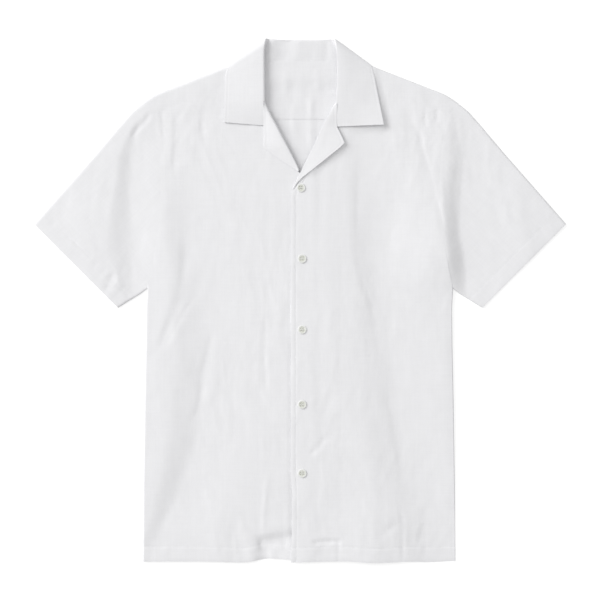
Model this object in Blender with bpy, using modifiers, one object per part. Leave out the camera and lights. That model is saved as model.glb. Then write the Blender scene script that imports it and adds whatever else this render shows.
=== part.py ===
"""Camp collar shirt with short sleeves, buttoned up and laid flat on its back.

X runs across the shirt, with the wearer's left at +X; the left front laps over the right.
Y runs from the hem to the collar, with its zero halfway, and Z is the height above the
surface that the back lies on.

Sizes are in millimetres. Tables describe one half of the shirt: out is the distance from
the centre line, up the distance above the hem, and lift the height of the middle of the
cloth above the surface. A negative out reaches over the centre line.
"""

import math
from collections import namedtuple

import bmesh
import bpy
import numpy as np
from mathutils import Vector

MM = 0.001
LEFT, RIGHT = 1, -1
SIDE_NAMES = {LEFT: "left", RIGHT: "right"}

Point = namedtuple("Point", "out up")

# Cloth, and the layers that lie on each other
CLOTH = 1.2
GAP = 0.3
LAYER = CLOTH + GAP
SEAM = GAP / 2
BACK_LIFT = CLOTH / 2
FRONT_LIFT = 3.2
LOWEST_FRONT_LIFT = BACK_LIFT + LAYER

# Outline
LENGTH = 787.4
BODY_SIDE = (Point(234.5, 0), Point(233.5, 120), Point(231.7, 240), Point(229.8, 330), Point(229, 409))
ARMHOLE = (
    Point(229, 409),
    Point(219, 455),
    Point(211, 510),
    Point(208.5, 565),
    Point(211, 620),
    Point(221, 667),
    Point(235.5, 687.5),
)
SHOULDER = (Point(78, 754), Point(213.5, 701.3), Point(229.5, 692), Point(235.5, 687.5))
SLEEVE_TOP = (Point(252, 674.3), Point(268, 656.3), Point(306, 611.3), Point(398.5, 506))
UNDERARM = (Point(239.7, 401.1), Point(263.7, 386.3), Point(273, 380.5))
CUFF = (SLEEVE_TOP[-1], UNDERARM[-1])
BACK_NECK = (Point(0, 748.2), Point(26, 748.3), Point(52, 749.2))
YOKE_SEAM_UP = 663.6
FORWARD_SEAM_NECK = Point(72.3, 731.7)
FORWARD_SEAM_ARMHOLE_UP = 671

# Sleeves stand a little further off the armhole beside the armpit, where their fold meets the body's
ARMPIT_EASE, ARMPIT_EASE_SHARE = 0.5, 0.06

# Front edges, from the hem to the forward seam
FRONT_EDGE = {
    LEFT: (
        Point(-14, 0),
        Point(-14, 548),
        Point(-5, 561.5),
        Point(16.8, 606),
        Point(28, 628),
        Point(40, 652),
        Point(52.5, 674),
        Point(64, 697),
        Point(71, 722),
        FORWARD_SEAM_NECK,
    ),
    RIGHT: (
        Point(-17, 0),
        Point(-17, 545),
        Point(-9, 572),
        Point(4.5, 589.5),
        Point(12, 604.5),
        Point(21, 622.5),
        Point(33, 645),
        Point(46, 668),
        Point(60, 692),
        Point(70, 720),
        FORWARD_SEAM_NECK,
    ),
}

# The left front rises over the right where it laps it
LAP_OUT, LAP_FADE = 19, 56
LAP_UP, LAP_UP_FADE = 580, 110
SIDE_DROP_WIDTH = 12
SIDE_DROP_FADE = 31

# The yoke and the fronts rise near the neck, over the collar's fall behind it
NECK_RISE_OUT = 112
NECK_RISE_FADE = 24
BACK_RISE, BACK_RISE_UP, BACK_RISE_RUN = LAYER, 704, 24
FRONT_RISE, FRONT_RISE_OUT, FRONT_RISE_FADE = 0.7, 100, 50
FRONT_RISE_UP, FRONT_RISE_RUN = 670, 60

# Roll lines, along which the collar and the lapels turn over
ROLL = {
    LEFT: (
        Point(-14, 548),
        Point(-9, 560.5),
        Point(6, 591.5),
        Point(20, 619),
        Point(31, 642),
        Point(41, 663),
        Point(54, 688),
        Point(55, 717),
        Point(55, 745),
        Point(54, 765),
    ),
    RIGHT: (
        Point(-1, 586),
        Point(9, 606),
        Point(15, 618),
        Point(27, 642),
        Point(38, 663),
        Point(52, 688),
        Point(54.6, 717),
        Point(54.8, 745),
        Point(54, 765),
    ),
}
Rise = namedtuple("Rise", "up height")
ROLL_RISE = (
    Rise(555, 0.3),
    Rise(585, 1.0),
    Rise(620, 3.0),
    Rise(655, 5.0),
    Rise(690, 6.5),
    Rise(730, 6.8),
    Rise(765, 6.7),
)
ROLL_REACH = 45
SMALL_ROLL, LARGE_ROLL = 0.9, 1.8
ROLL_GROWTH_UP, ROLL_GROWTH = 560, 80

# Sections of the collar from the centre back to the front, round the end of the shoulder fold
CollarSection = namedtuple(
    "CollarSection",
    "foot_out foot_up foot_lift roll_out roll_up centre_lift radius edge_out edge_up edge_lift lean",
)
BACK_SECTIONS = (
    CollarSection(0, 749.0, 2.1, 0, 783.0, 1.9, 1.3, 0, 733.0, 0.6, -90),
    CollarSection(30, 749.2, 2.1, 25, 783.5, 1.9, 1.3, 38, 733.5, 0.6, -90),
    CollarSection(55, 750.7, 2.1, 41, 785.0, 2.2, 1.3, 72, 736.0, 0.6, -85),
    CollarSection(70, 752.8, 2.3, 48, 786.3, 3.0, 1.3, 98.5, 744.4, 0.6, -70),
    CollarSection(74.6, 754.8, 2.6, 49.5, 786.7, 4.7, 1.3, 101.6, 745.2, 1.2, -30),
    CollarSection(77.0, 755.6, 3.0, 50.5, 786.8, 6.2, 1.4, 104.4, 744.9, 3.0, 0),
    CollarSection(75.4, 750.6, 3.6, 50.8, 785.5, 8.0, 1.5, 106.1, 743.4, 4.9, 35),
    CollarSection(73.8, 744.0, 3.9, 51.5, 779.5, 9.8, 1.7, 107.3, 741.0, 5.7, 65),
)
# Sections further on, whose ends lie on the roll line, the neck edge and the collar's outer edge
FrontSection = namedtuple("FrontSection", "roll_up foot_up edge_share")
FRONT_SECTIONS = (
    FrontSection(765, 736, 0.06),
    FrontSection(745, 721, 0.17),
    FrontSection(717, 700, 0.40),
)
GORGE_TOP = {LEFT: FrontSection(685.5, 685.3, 0.62), RIGHT: FrontSection(688.5, 688.0, 0.62)}
GorgeSection = namedtuple("GorgeSection", "out up edge_share")
GORGE = {
    LEFT: (GorgeSection(54.9, 670, 0.8), GorgeSection(55.9, 651.5, 1)),
    RIGHT: (GorgeSection(54.9, 670, 0.8), GorgeSection(55.0, 653.4, 1)),
}
COLLAR_OUTER_EDGE = {
    LEFT: (Point(109.3, 734), Point(125, 654)),
    RIGHT: (Point(111.0, 734), Point(114.3, 658)),
}
FOOT_GAP = GAP + CLOTH / 2

# Lapels, from the gorge seam down to where the roll line meets the front edge
LapelRow = namedtuple("LapelRow", "roll_out roll_up edge_out edge_up")
LAPEL_ROWS = {
    LEFT: (
        LapelRow(51.6, 683.6, 54.3, 682.8),
        LapelRow(46.5, 673, 54.4, 669),
        LapelRow(41, 663, 54.4, 656),
        LapelRow(36.5, 653.5, 55.3, 650.4),
        LapelRow(31, 642, 63, 636),
        LapelRow(26, 631.5, 67, 626),
        LapelRow(20, 619, 60, 618.5),
        LapelRow(13, 605, 46, 607),
        LapelRow(6, 591.5, 31, 594.5),
        LapelRow(0, 579.5, 17, 582),
        LapelRow(-5, 569, 5, 573),
        LapelRow(-9, 560.5, -3.5, 564),
    ),
    RIGHT: (
        LapelRow(50.2, 684.8, 54.0, 683.4),
        LapelRow(44, 674, 54.4, 669),
        LapelRow(38, 663, 54.4, 657),
        LapelRow(33, 654, 54.5, 648),
        LapelRow(27, 642, 54.6, 636),
        LapelRow(21, 630, 54.8, 624.5),
        LapelRow(15, 618, 46, 611),
        LapelRow(9, 606, 33, 602),
        LapelRow(4, 596.5, 19, 594.5),
        LapelRow(1, 590, 9, 590.5),
    ),
}

# The largest folds of the cloth: troughs have a negative height
Fold = namedtuple("Fold", "height half_width path")
FRONT_FOLDS = {
    RIGHT: (
        Fold(-1.0, 22, (Point(104, 445), Point(139, 305), Point(150, 230), Point(197, 127), Point(222, 55))),
        Fold(1.5, 24, (Point(81, 404), Point(104, 295), Point(128, 208), Point(150, 151))),
        Fold(-0.8, 18, (Point(173, 485), Point(179, 404), Point(203, 335), Point(208, 305))),
    ),
    LEFT: (
        Fold(-1.0, 24, (Point(89, 560), Point(86, 473), Point(127, 295), Point(150, 150), Point(156, 47))),
        Fold(-0.8, 16, (Point(165, 662), Point(184, 617), Point(193, 587), Point(201, 553))),
        Fold(1.3, 24, (Point(130, 440), Point(165, 310), Point(186, 190))),
    ),
}
SLEEVE_FOLDS = {
    RIGHT: (Fold(-1.0, 18, (Point(243, 650), Point(264, 569), Point(279, 463), Point(257, 420))),),
    LEFT: (Fold(-1.0, 16, (Point(229, 656), Point(241, 595), Point(231, 527), Point(237, 413))),),
}

# How finely the cloth is divided, as steps along each length
SIDE_ROWS, ARMHOLE_ROWS, FRONT_COLUMNS = 11, 13, 13
ARMPIT_ROW_UP = 430
YOKE_ARMHOLE_STEPS = 2
YOKE_ROWS, SHOULDER_COLUMNS, FORWARD_ROWS = 5, 7, 2
BACK_ARMHOLE_STEPS = 4
SLEEVE_ROWS = 9
EDGE_ANGLES = (-45, 0, 45)
ROLL_ANGLES = (-90, -60, -30, 0, 30, 60, 90)
FALL_SHARES = (0.25, 0.5, 0.75, 1)
SLEEVE_SAMPLES = 40
TANGENT_STEP = 0.01

# Buttons
BUTTON_OUT = 3
BUTTON_UPS = (560, 454, 348, 236, 133)
BUTTON_SEAT_LIFT = FRONT_LIFT + LAYER + CLOTH / 2 + GAP
BUTTON_STEPS = 24
ButtonRing = namedtuple("ButtonRing", "radius height")
BUTTON_PROFILE = (
    ButtonRing(0, 1.7),
    ButtonRing(3.6, 1.7),
    ButtonRing(4.5, 2.4),
    ButtonRing(5.6, 2.4),
    ButtonRing(6.2, 1.7),
    ButtonRing(6.2, 0.9),
    ButtonRing(5.0, 0),
    ButtonRing(0, 0),
)
HOLE_RADIUS = 0.65
HOLE_SPACING = 2.5
HOLE_SIDES = 8
HOLE_CUTTER_LENGTH = 10
BUTTON_SMOOTH_ANGLE = math.radians(35)
MERGE_DISTANCE = 0.00001

Finish = namedtuple("Finish", "name colour roughness")
LINEN = Finish("linen", (0.82, 0.83, 0.85), 0.9)
PEARL = Finish("pearl", (0.74, 0.75, 0.69), 0.3)


# ---- lines and shares of lines ----


def smooth(t):
    """0 below 0, 1 above 1, and an S curve between."""
    t = min(max(t, 0.0), 1.0)
    return t * t * (3 - 2 * t)


def reaches(line):
    """The distance along a line at each of its points."""
    steps = np.linalg.norm(np.diff(line, axis=0), axis=1)
    return np.concatenate(([0.0], np.cumsum(steps)))


def along(line, share):
    """The point at this share of a line's length."""
    line = np.asarray(line, float)
    reach = reaches(line)
    return np.array([np.interp(share * reach[-1], reach, axis) for axis in line.T])


def out_at(line, up):
    """How far out a line is where it reaches this height; the line only climbs."""
    outs, ups = zip(*line)
    return float(np.interp(up, ups, outs))


def share_at(line, up):
    """The share of a climbing line's length at which it reaches this height."""
    reach = reaches(line)
    return float(np.interp(up, line[:, 1], reach / reach[-1]))


def curve_through(points, steps=6):
    """A Catmull-Rom curve through the points, as a line of short steps."""
    points = np.array(points, float)
    padded = np.vstack((2 * points[0] - points[1], points, 2 * points[-1] - points[-2]))
    line = []
    for before, start, end, after in zip(padded, padded[1:], padded[2:], padded[3:]):
        for t in np.arange(steps) / steps:
            slope = (end - before) * t
            bend = (2 * before - 5 * start + 4 * end - after) * t**2
            twist = (3 * start - before - 3 * end + after) * t**3
            line.append(start + (slope + bend + twist) / 2)
    return np.array([*line, points[-1]])


def unit(vector):
    return vector / np.linalg.norm(vector)


def nearest_on(path, point):
    """How far a point is from a path, and the share of the path's length where it is nearest."""
    path = np.asarray(path, float)
    reach = reaches(path)
    best = (math.inf, 0.0)
    for index, (start, end) in enumerate(zip(path, path[1:])):
        step = end - start
        t = np.clip(np.dot(point - start, step) / np.dot(step, step), 0, 1)
        distance = np.linalg.norm(point - start - t * step)
        share = (reach[index] + t * np.linalg.norm(step)) / reach[-1]
        best = min(best, (distance, share))
    return best


ARMHOLE_LINE = curve_through(ARMHOLE)
ARMHOLE_LENGTH = reaches(ARMHOLE_LINE)[-1]
YOKE_SEAM_SHARE = share_at(ARMHOLE_LINE, YOKE_SEAM_UP)
FORWARD_SEAM_SHARE = share_at(ARMHOLE_LINE, FORWARD_SEAM_ARMHOLE_UP)
SHOULDER_LINE = curve_through(SHOULDER)


def tangent(line, share):
    """The direction that a line runs in at a share of its length."""
    ahead = along(line, min(share + TANGENT_STEP, 1))
    behind = along(line, max(share - TANGENT_STEP, 0))
    return unit(ahead - behind)


def right_of(direction):
    """The plan direction to the right of another."""
    return np.array((direction[1], -direction[0]))


def armhole_point(share, outward):
    """A point on the armhole, share 0 at the armpit and 1 at the shoulder, moved outward."""
    return along(ARMHOLE_LINE, share) + outward * right_of(tangent(ARMHOLE_LINE, share))


def sleeve_head_point(share):
    """A point of the sleeve's own edge along the armhole."""
    return armhole_point(share, SEAM + ARMPIT_EASE * (1 - smooth(share / ARMPIT_EASE_SHARE)))


# ---- heights of the layers ----


def fold_height(folds, out, up):
    """What the folds add at a point: a soft ridge or trough along each fold's path."""
    total = 0.0
    for fold in folds:
        distance, share = nearest_on(fold.path, np.array((out, up)))
        if distance < fold.half_width:
            across = math.cos(math.pi / 2 * distance / fold.half_width) ** 2
            total += fold.height * across * math.sin(math.pi * share) ** 0.5
    return total


def back_lift(out, up):
    """Height of the yoke's back, which rests on the collar's fall near the neck."""
    near_neck = 1 - smooth((out - NECK_RISE_OUT) / NECK_RISE_FADE)
    return BACK_LIFT + BACK_RISE * near_neck * smooth((up - BACK_RISE_UP) / BACK_RISE_RUN)


def front_lift(side, out, up):
    """Height of the front layer with its folds pressed out."""
    near_neck = 1 - smooth((out - FRONT_RISE_OUT) / FRONT_RISE_FADE)
    lift = FRONT_LIFT + FRONT_RISE * near_neck * smooth((up - FRONT_RISE_UP) / FRONT_RISE_RUN)
    if side == LEFT:
        over_lap = 1 - smooth((out - LAP_OUT) / LAP_FADE)
        lift += LAYER * over_lap * (1 - smooth((up - LAP_UP) / LAP_UP_FADE))
    from_side = out_at(BODY_SIDE, up) - out
    at_side = 1 - smooth(from_side / SIDE_DROP_WIDTH)
    below_armpit = 1 - smooth((up - ARMHOLE[0].up) / SIDE_DROP_FADE)
    return lift - (FRONT_LIFT - LOWEST_FRONT_LIFT) * at_side * below_armpit


def front_height(side, out, up):
    return max(LOWEST_FRONT_LIFT, front_lift(side, out, up) + fold_height(FRONT_FOLDS[side], out, up))


def sleeve_height(side, out, up):
    return max(LOWEST_FRONT_LIFT, FRONT_LIFT + fold_height(SLEEVE_FOLDS[side], out, up))


def roll_radius(up):
    return SMALL_ROLL + (LARGE_ROLL - SMALL_ROLL) * smooth((up - ROLL_GROWTH_UP) / ROLL_GROWTH)


def turned_lift(side, out, up):
    """Height of a turned lapel or collar, which rests on the front and rises to its roll."""
    ups, heights = zip(*ROLL_RISE)
    rise = np.interp(up, ups, heights)
    from_roll = min(max(out - out_at(ROLL[side], up), 0) / ROLL_REACH, 1)
    return front_lift(side, out, up) + LAYER + rise * (1 + math.cos(math.pi * from_roll)) / 2


# ---- making objects ----


def clear_scene():
    for obj in list(bpy.data.objects):
        bpy.data.objects.remove(obj)


def make_collections():
    parts = bpy.data.collections.new("camp_collar_shirt")
    cutters = bpy.data.collections.new("cutters")
    for collection in (parts, cutters):
        bpy.context.scene.collection.children.link(collection)
    return parts, cutters


def give_finish(data, name, finish):
    material = bpy.data.materials.new(f"{name}_{finish.name}")
    material.use_nodes = True
    shader = material.node_tree.nodes["Principled BSDF"]
    shader.inputs["Base Color"].default_value = (*finish.colour, 1)
    shader.inputs["Roughness"].default_value = finish.roughness
    shader.inputs["Metallic"].default_value = 0
    data.materials.append(material)


def place(side, out, up, lift):
    return (side * out, up - LENGTH / 2, lift)


def place_row(side, row):
    return [None if point is None else place(side, *point) for point in row]


def add_cloth(name, grid, parts, closed=False):
    """A wall of cloth about a grid of middle points, in which None leaves the cloth out.

    A closed grid joins the last point of each row to its first.
    """
    shape = bmesh.new()

    def vertex(point):
        return None if point is None else shape.verts.new(Vector(point) * MM)

    rows = [[vertex(point) for point in row] for row in grid]
    for row, next_row in zip(rows, rows[1:]):
        pairs = list(zip(row, next_row))
        followers = pairs[1:] + (pairs[:1] if closed else [])
        for (near, far), (next_near, next_far) in zip(pairs, followers):
            corners = (near, next_near, next_far, far)
            if None not in corners:
                shape.faces.new(corners)
    mesh = bpy.data.meshes.new(name)
    shape.to_mesh(mesh)
    shape.free()
    mesh.shade_smooth()
    give_finish(mesh, name, LINEN)
    cloth = bpy.data.objects.new(name, mesh)
    parts.objects.link(cloth)
    wall = cloth.modifiers.new("wall", "SOLIDIFY")
    wall.thickness = CLOTH * MM
    wall.offset = 0
    wall.use_even_offset = True
    wall.use_quality_normals = True
    return cloth


# ---- back ----


def build_back_body(parts):
    """The back below the yoke: one flat outline that lies on the surface."""
    half = [np.array(point, float) for point in BODY_SIDE[:-1]]
    for step in range(BACK_ARMHOLE_STEPS + 1):
        half.append(armhole_point(YOKE_SEAM_SHARE * step / BACK_ARMHOLE_STEPS, -SEAM))
    half[-1][1] -= SEAM
    outline = [(LEFT, *point) for point in half] + [(RIGHT, *point) for point in reversed(half)]
    curve = bpy.data.curves.new("back_body", "CURVE")
    curve.dimensions = "2D"
    curve.fill_mode = "BOTH"
    curve.extrude = CLOTH / 2 * MM
    spline = curve.splines.new("POLY")
    spline.points.add(len(outline) - 1)
    spline.use_cyclic_u = True
    for spline_point, (side, out, up) in zip(spline.points, outline):
        x, y, _ = place(side, out, up, 0)
        spline_point.co = (x * MM, y * MM, 0, 1)
    give_finish(curve, "back_body", LINEN)
    back = bpy.data.objects.new("back_body", curve)
    back.location.z = BACK_LIFT * MM
    parts.objects.link(back)


def fold_arc(radius, angles):
    """Depth inside the outline and height about the fold's axis, from below to above."""
    turns = [math.radians(angle) for angle in angles]
    return [(CLOTH / 2 + radius * (1 - math.cos(turn)), radius * math.sin(turn)) for turn in turns]


def between(start, end, shares):
    start, end = np.array(start), np.array(end)
    return [start + (end - start) * share for share in shares]


def inner_shares(steps):
    """The shares between the ends of a length of so many steps."""
    return [step / steps for step in range(1, steps)]


def armhole_points(start, end, shares):
    return [armhole_point(start + (end - start) * share, -SEAM) for share in shares]


def seam_points(share):
    """The ends of a yoke column on the back seam and the forward seam, just clear of each."""
    seam_end = armhole_point(YOKE_SEAM_SHARE, -SEAM)
    neck_share = SHOULDER[0].out / ARMHOLE[-1].out
    seam = np.array((seam_end[0] * (neck_share + (1 - neck_share) * share), YOKE_SEAM_UP + SEAM))
    neck, end = np.array(FORWARD_SEAM_NECK), armhole_point(FORWARD_SEAM_SHARE, -SEAM)
    return seam, neck + (end - neck) * share - SEAM * right_of(unit(end - neck))


def shoulder_column(share):
    """One column of the yoke over the shoulder fold: back rows, the fold, forward rows."""
    crown = along(SHOULDER_LINE, share)
    inward = right_of(tangent(SHOULDER_LINE, share))
    upper, lower = front_lift(RIGHT, *crown), back_lift(*crown)
    radius, axis = (upper - lower) / 2, (upper + lower) / 2
    at_armhole = share == 1

    def at_depth(depth):
        if at_armhole:
            return armhole_point(1 - depth / ARMHOLE_LENGTH, -SEAM)
        return crown + inward * depth

    arc = [(*at_depth(depth), axis + height) for depth, height in fold_arc(radius, ROLL_ANGLES)]
    seam, forward_seam = seam_points(share)
    if at_armhole:
        fold_share = 1 - (CLOTH / 2 + radius) / ARMHOLE_LENGTH
        back = armhole_points(YOKE_SEAM_SHARE, fold_share, inner_shares(YOKE_ROWS))
        front = armhole_points(fold_share, FORWARD_SEAM_SHARE, inner_shares(FORWARD_ROWS))
    else:
        back = between(seam, arc[0][:2], inner_shares(YOKE_ROWS))
        front = between(arc[-1][:2], forward_seam, inner_shares(FORWARD_ROWS))
    lifted_back = [(*point, back_lift(*point)) for point in (seam, *back)]
    lifted_front = [(*point, front_lift(RIGHT, *point)) for point in (*front, forward_seam)]
    return lifted_back + arc + lifted_front


def neck_column(top, column_length):
    """One column of the yoke under the back neck, where it has no fold and nothing beyond."""
    seam, _ = seam_points(1)
    foot = np.array((seam[0] * top.out / ARMHOLE[-1].out, seam[1]))
    points = between(foot, top, (0, *inner_shares(YOKE_ROWS), 1))
    column = [(*point, back_lift(*point)) for point in points]
    return column + [None] * (column_length - len(column))


def build_back_yoke(parts):
    shoulder = [shoulder_column(column / SHOULDER_COLUMNS) for column in range(SHOULDER_COLUMNS + 1)]
    half = [neck_column(top, len(shoulder[0])) for top in BACK_NECK] + shoulder
    columns = [place_row(RIGHT, column) for column in reversed(half[1:])]
    columns += [place_row(LEFT, column) for column in half]
    add_cloth("back_yoke", columns, parts)


# ---- fronts ----


def front_rows(side):
    """The inner and outer end of each row of a front, from the hem to the forward seam."""
    rows = []
    for row in range(SIDE_ROWS):
        share = row / SIDE_ROWS
        outer_up = ARMHOLE[0].up * share
        rows.append((ARMPIT_ROW_UP * share, np.array((out_at(BODY_SIDE, outer_up), outer_up))))
    for row in range(ARMHOLE_ROWS + 1):
        share = row / ARMHOLE_ROWS
        inner_up = ARMPIT_ROW_UP + (FORWARD_SEAM_NECK.up - ARMPIT_ROW_UP) * share
        rows.append((inner_up, armhole_point(FORWARD_SEAM_SHARE * share, -SEAM)))
    return [(np.array((out_at(FRONT_EDGE[side], up), up)), outer) for up, outer in rows]


def build_front(side, parts):
    rows = front_rows(side)
    inner, outer = rows[-1]
    off_seam = SEAM * right_of(unit(outer - inner))
    rows[-1] = (inner + off_seam, outer + off_seam)
    grid = []
    for inner, outer in rows:
        points = between(inner, outer, (0, *inner_shares(FRONT_COLUMNS), 1))
        grid.append([place(side, *point, front_height(side, *point)) for point in points])
    add_cloth(f"front_{SIDE_NAMES[side]}", grid, parts)


# ---- sleeves ----


def sleeve_point(u, v):
    """A point of the flat sleeve: u from its top fold to the underarm, v from armhole to cuff."""
    top = (sleeve_head_point(1), *SLEEVE_TOP)
    under = (sleeve_head_point(0), *UNDERARM)
    sides = (1 - v) * sleeve_head_point(1 - u) + v * along(CUFF, u)
    sides += (1 - u) * along(top, v) + u * along(under, v)
    corners = (1 - v) * ((1 - u) * top[0] + u * under[0])
    corners += v * ((1 - u) * np.array(CUFF[0]) + u * np.array(CUFF[1]))
    return sides - corners


def sleeve_ring(side, v):
    """One ring of a sleeve: its top fold, front layer, underarm fold and back layer."""
    row = np.array([sleeve_point(u, v) for u in np.linspace(0, 1, SLEEVE_SAMPLES + 1)])
    length = reaches(row)[-1]
    radius, axis = (FRONT_LIFT - BACK_LIFT) / 2, (FRONT_LIFT + BACK_LIFT) / 2
    arc = fold_arc(radius, EDGE_ANGLES)
    top_fold = [(*along(row, depth / length), axis + height) for depth, height in arc]
    under_fold = [(*along(row, 1 - depth / length), axis + height) for depth, height in reversed(arc)]
    fold_depth = CLOTH / 2 + radius
    top_end, under_end = along(row, fold_depth / length), along(row, 1 - fold_depth / length)

    forward_shares = np.linspace(1, FORWARD_SEAM_SHARE, YOKE_ARMHOLE_STEPS + 1)[1:-1]
    front_shares = np.linspace(FORWARD_SEAM_SHARE, 0, ARMHOLE_ROWS + 1)[:-1]
    front = [sleeve_point(1 - share, v) for share in (*forward_shares, *front_shares)]
    back_shares = np.linspace(0, YOKE_SEAM_SHARE, BACK_ARMHOLE_STEPS + 1)[1:]
    fold_share = 1 - fold_depth / ARMHOLE_LENGTH
    yoke_shares = np.linspace(YOKE_SEAM_SHARE, fold_share, YOKE_ROWS + 1)[1:-1]
    back = [sleeve_point(1 - share, v) for share in (*back_shares, *yoke_shares)]

    lifted_front = [(*point, sleeve_height(side, *point)) for point in (top_end, *front, under_end)]
    lifted_back = [(*point, BACK_LIFT) for point in (under_end, *back, top_end)]
    return place_row(side, [*top_fold, *lifted_front, *under_fold, *lifted_back])


def build_sleeve(side, parts):
    rings = [sleeve_ring(side, row / SLEEVE_ROWS) for row in range(SLEEVE_ROWS + 1)]
    add_cloth(f"sleeve_{SIDE_NAMES[side]}", rings, parts, closed=True)


# ---- collar and lapels ----


def turn_over(roll, toward, across, lean, centre_lift, radius):
    """The bend of a collar about its roll line, from the stand's side to the fall's.

    The bend opens toward a plan direction. At a lean of 90 degrees the fall lies above the
    stand, at -90 below it, and at 0 beside it, on the side that across points to.
    """
    ahead = np.array((*unit(toward), 0.0))
    beside = np.array((-ahead[1], ahead[0], 0.0))
    if np.dot(beside[:2], across) < 0:
        beside = -beside
    tilt = math.radians(lean)
    fall_side = beside * math.cos(tilt) + np.array((0, 0, math.sin(tilt)))
    centre = np.array((*roll, centre_lift)) + ahead * (radius + CLOTH / 2)
    turns = [math.radians(angle) for angle in ROLL_ANGLES]
    return [centre + radius * (fall_side * math.sin(turn) - ahead * math.cos(turn)) for turn in turns]


def back_section(section):
    """A section of the collar whose fall lies straight, under the yoke or round the shoulder fold."""
    foot = np.array((section.foot_out, section.foot_up, section.foot_lift))
    edge = np.array((section.edge_out, section.edge_up, section.edge_lift))
    roll = np.array((section.roll_out, section.roll_up))
    toward = (foot + edge)[:2] / 2 - roll
    bend = turn_over(roll, toward, (edge - foot)[:2], section.lean, section.centre_lift, section.radius)
    return [foot, (foot + bend[0]) / 2, *bend, *between(bend[-1], edge, FALL_SHARES)]


def turned_section(side, foot, roll, edge):
    """A section of a lapel or of the collar's front, whose fall rests on the front below it."""
    toward = edge - roll
    radius = roll_radius(roll[1])
    bend_end = roll + unit(toward) * (radius + CLOTH / 2)
    centre_lift = turned_lift(side, *bend_end) - radius
    bend = turn_over(roll, toward, toward, 90, centre_lift, radius)
    fall = between(bend_end, edge, FALL_SHARES)
    return [foot, (foot + bend[0]) / 2, *bend, *((*point, turned_lift(side, *point)) for point in fall)]


def collar_half(side):
    """The collar's sections from the centre back to the notch on one side."""
    rows = [back_section(section) for section in BACK_SECTIONS]
    outer_edge = COLLAR_OUTER_EDGE[side]
    neck = [*(inner for inner, _ in front_rows(side)), SHOULDER[0]]
    for section in (*FRONT_SECTIONS, GORGE_TOP[side]):
        roll = np.array((out_at(ROLL[side], section.roll_up), section.roll_up))
        foot_out = out_at(neck, section.foot_up) - FOOT_GAP
        foot = np.array((foot_out, section.foot_up, front_lift(side, foot_out, section.foot_up)))
        rows.append(turned_section(side, foot, roll, along(outer_edge, section.edge_share)))
    for section in GORGE[side]:
        inner = np.array((section.out, section.up))
        fall = between(inner, along(outer_edge, section.edge_share), (0, *FALL_SHARES))
        lifted = [(*point, turned_lift(side, *point)) for point in fall]
        rows.append([None] * (len(rows[0]) - len(lifted)) + lifted)
    return [place_row(side, row) for row in rows]


def build_collar(parts):
    left, right = collar_half(LEFT), collar_half(RIGHT)
    add_cloth("collar", [*reversed(left), *right[1:]], parts)


def lapel_foot(side, roll, toward):
    """Where a lapel's row starts: just short of the front's edge, under its roll."""
    edge_line = [inner for inner, _ in front_rows(side)]
    ahead = unit(toward)
    for start, end in zip(edge_line, edge_line[1:]):
        step = end - start
        turn = ahead[0] * step[1] - ahead[1] * step[0]
        offset = start - roll
        reach = (offset[0] * step[1] - offset[1] * step[0]) / turn
        share = (offset[0] * ahead[1] - offset[1] * ahead[0]) / turn
        if 0 <= share <= 1 and reach > 0:
            sine = abs(turn) / np.linalg.norm(step)
            foot = roll + ahead * (reach - FOOT_GAP / sine)
            return np.array((*foot, front_lift(side, *foot)))
    raise ValueError("a lapel row misses the front's edge")


def build_lapel(side, parts):
    grid = []
    for row in LAPEL_ROWS[side]:
        roll = np.array((row.roll_out, row.roll_up))
        edge = np.array((row.edge_out, row.edge_up))
        section = turned_section(side, lapel_foot(side, roll, edge - roll), roll, edge)
        grid.append(place_row(side, section))
    add_cloth(f"lapel_{SIDE_NAMES[side]}", grid, parts)


# ---- buttons ----


def button_cutter(cutters):
    """Four round bars that cut the holes of a button."""
    shape = bmesh.new()
    for x in (-1, 1):
        for y in (-1, 1):
            made = bmesh.ops.create_cone(
                shape,
                cap_ends=True,
                segments=HOLE_SIDES,
                radius1=HOLE_RADIUS * MM,
                radius2=HOLE_RADIUS * MM,
                depth=HOLE_CUTTER_LENGTH * MM,
            )
            middle = (x * HOLE_SPACING / 2 * MM, y * HOLE_SPACING / 2 * MM, 0)
            bmesh.ops.translate(shape, verts=made["verts"], vec=middle)
    mesh = bpy.data.meshes.new("button_holes")
    shape.to_mesh(mesh)
    shape.free()
    cutter = bpy.data.objects.new("button_holes", mesh)
    cutter.hide_render = True
    cutter.display_type = "WIRE"
    cutters.objects.link(cutter)
    return cutter


def button_mesh(parts, cutters):
    """A turned button with a raised rim and four holes, its underside at zero."""
    profile = bpy.data.meshes.new("button_profile")
    points = [(ring.radius * MM, 0, ring.height * MM) for ring in BUTTON_PROFILE]
    profile.from_pydata(points, [(i, i + 1) for i in range(len(points) - 1)], [])
    blank = bpy.data.objects.new("button_blank", profile)
    parts.objects.link(blank)
    turned = blank.modifiers.new("turned", "SCREW")
    turned.steps = turned.render_steps = BUTTON_STEPS
    turned.use_merge_vertices = True
    turned.merge_threshold = MERGE_DISTANCE
    holes = blank.modifiers.new("holes", "BOOLEAN")
    holes.object = button_cutter(cutters)
    bpy.context.view_layer.update()
    graph = bpy.context.evaluated_depsgraph_get()
    mesh = bpy.data.meshes.new_from_object(blank.evaluated_get(graph))
    bpy.data.objects.remove(blank)
    bpy.data.meshes.remove(profile)
    mesh.name = "button"
    mesh.shade_smooth()
    mesh.set_sharp_from_angle(angle=BUTTON_SMOOTH_ANGLE)
    return mesh


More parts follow.
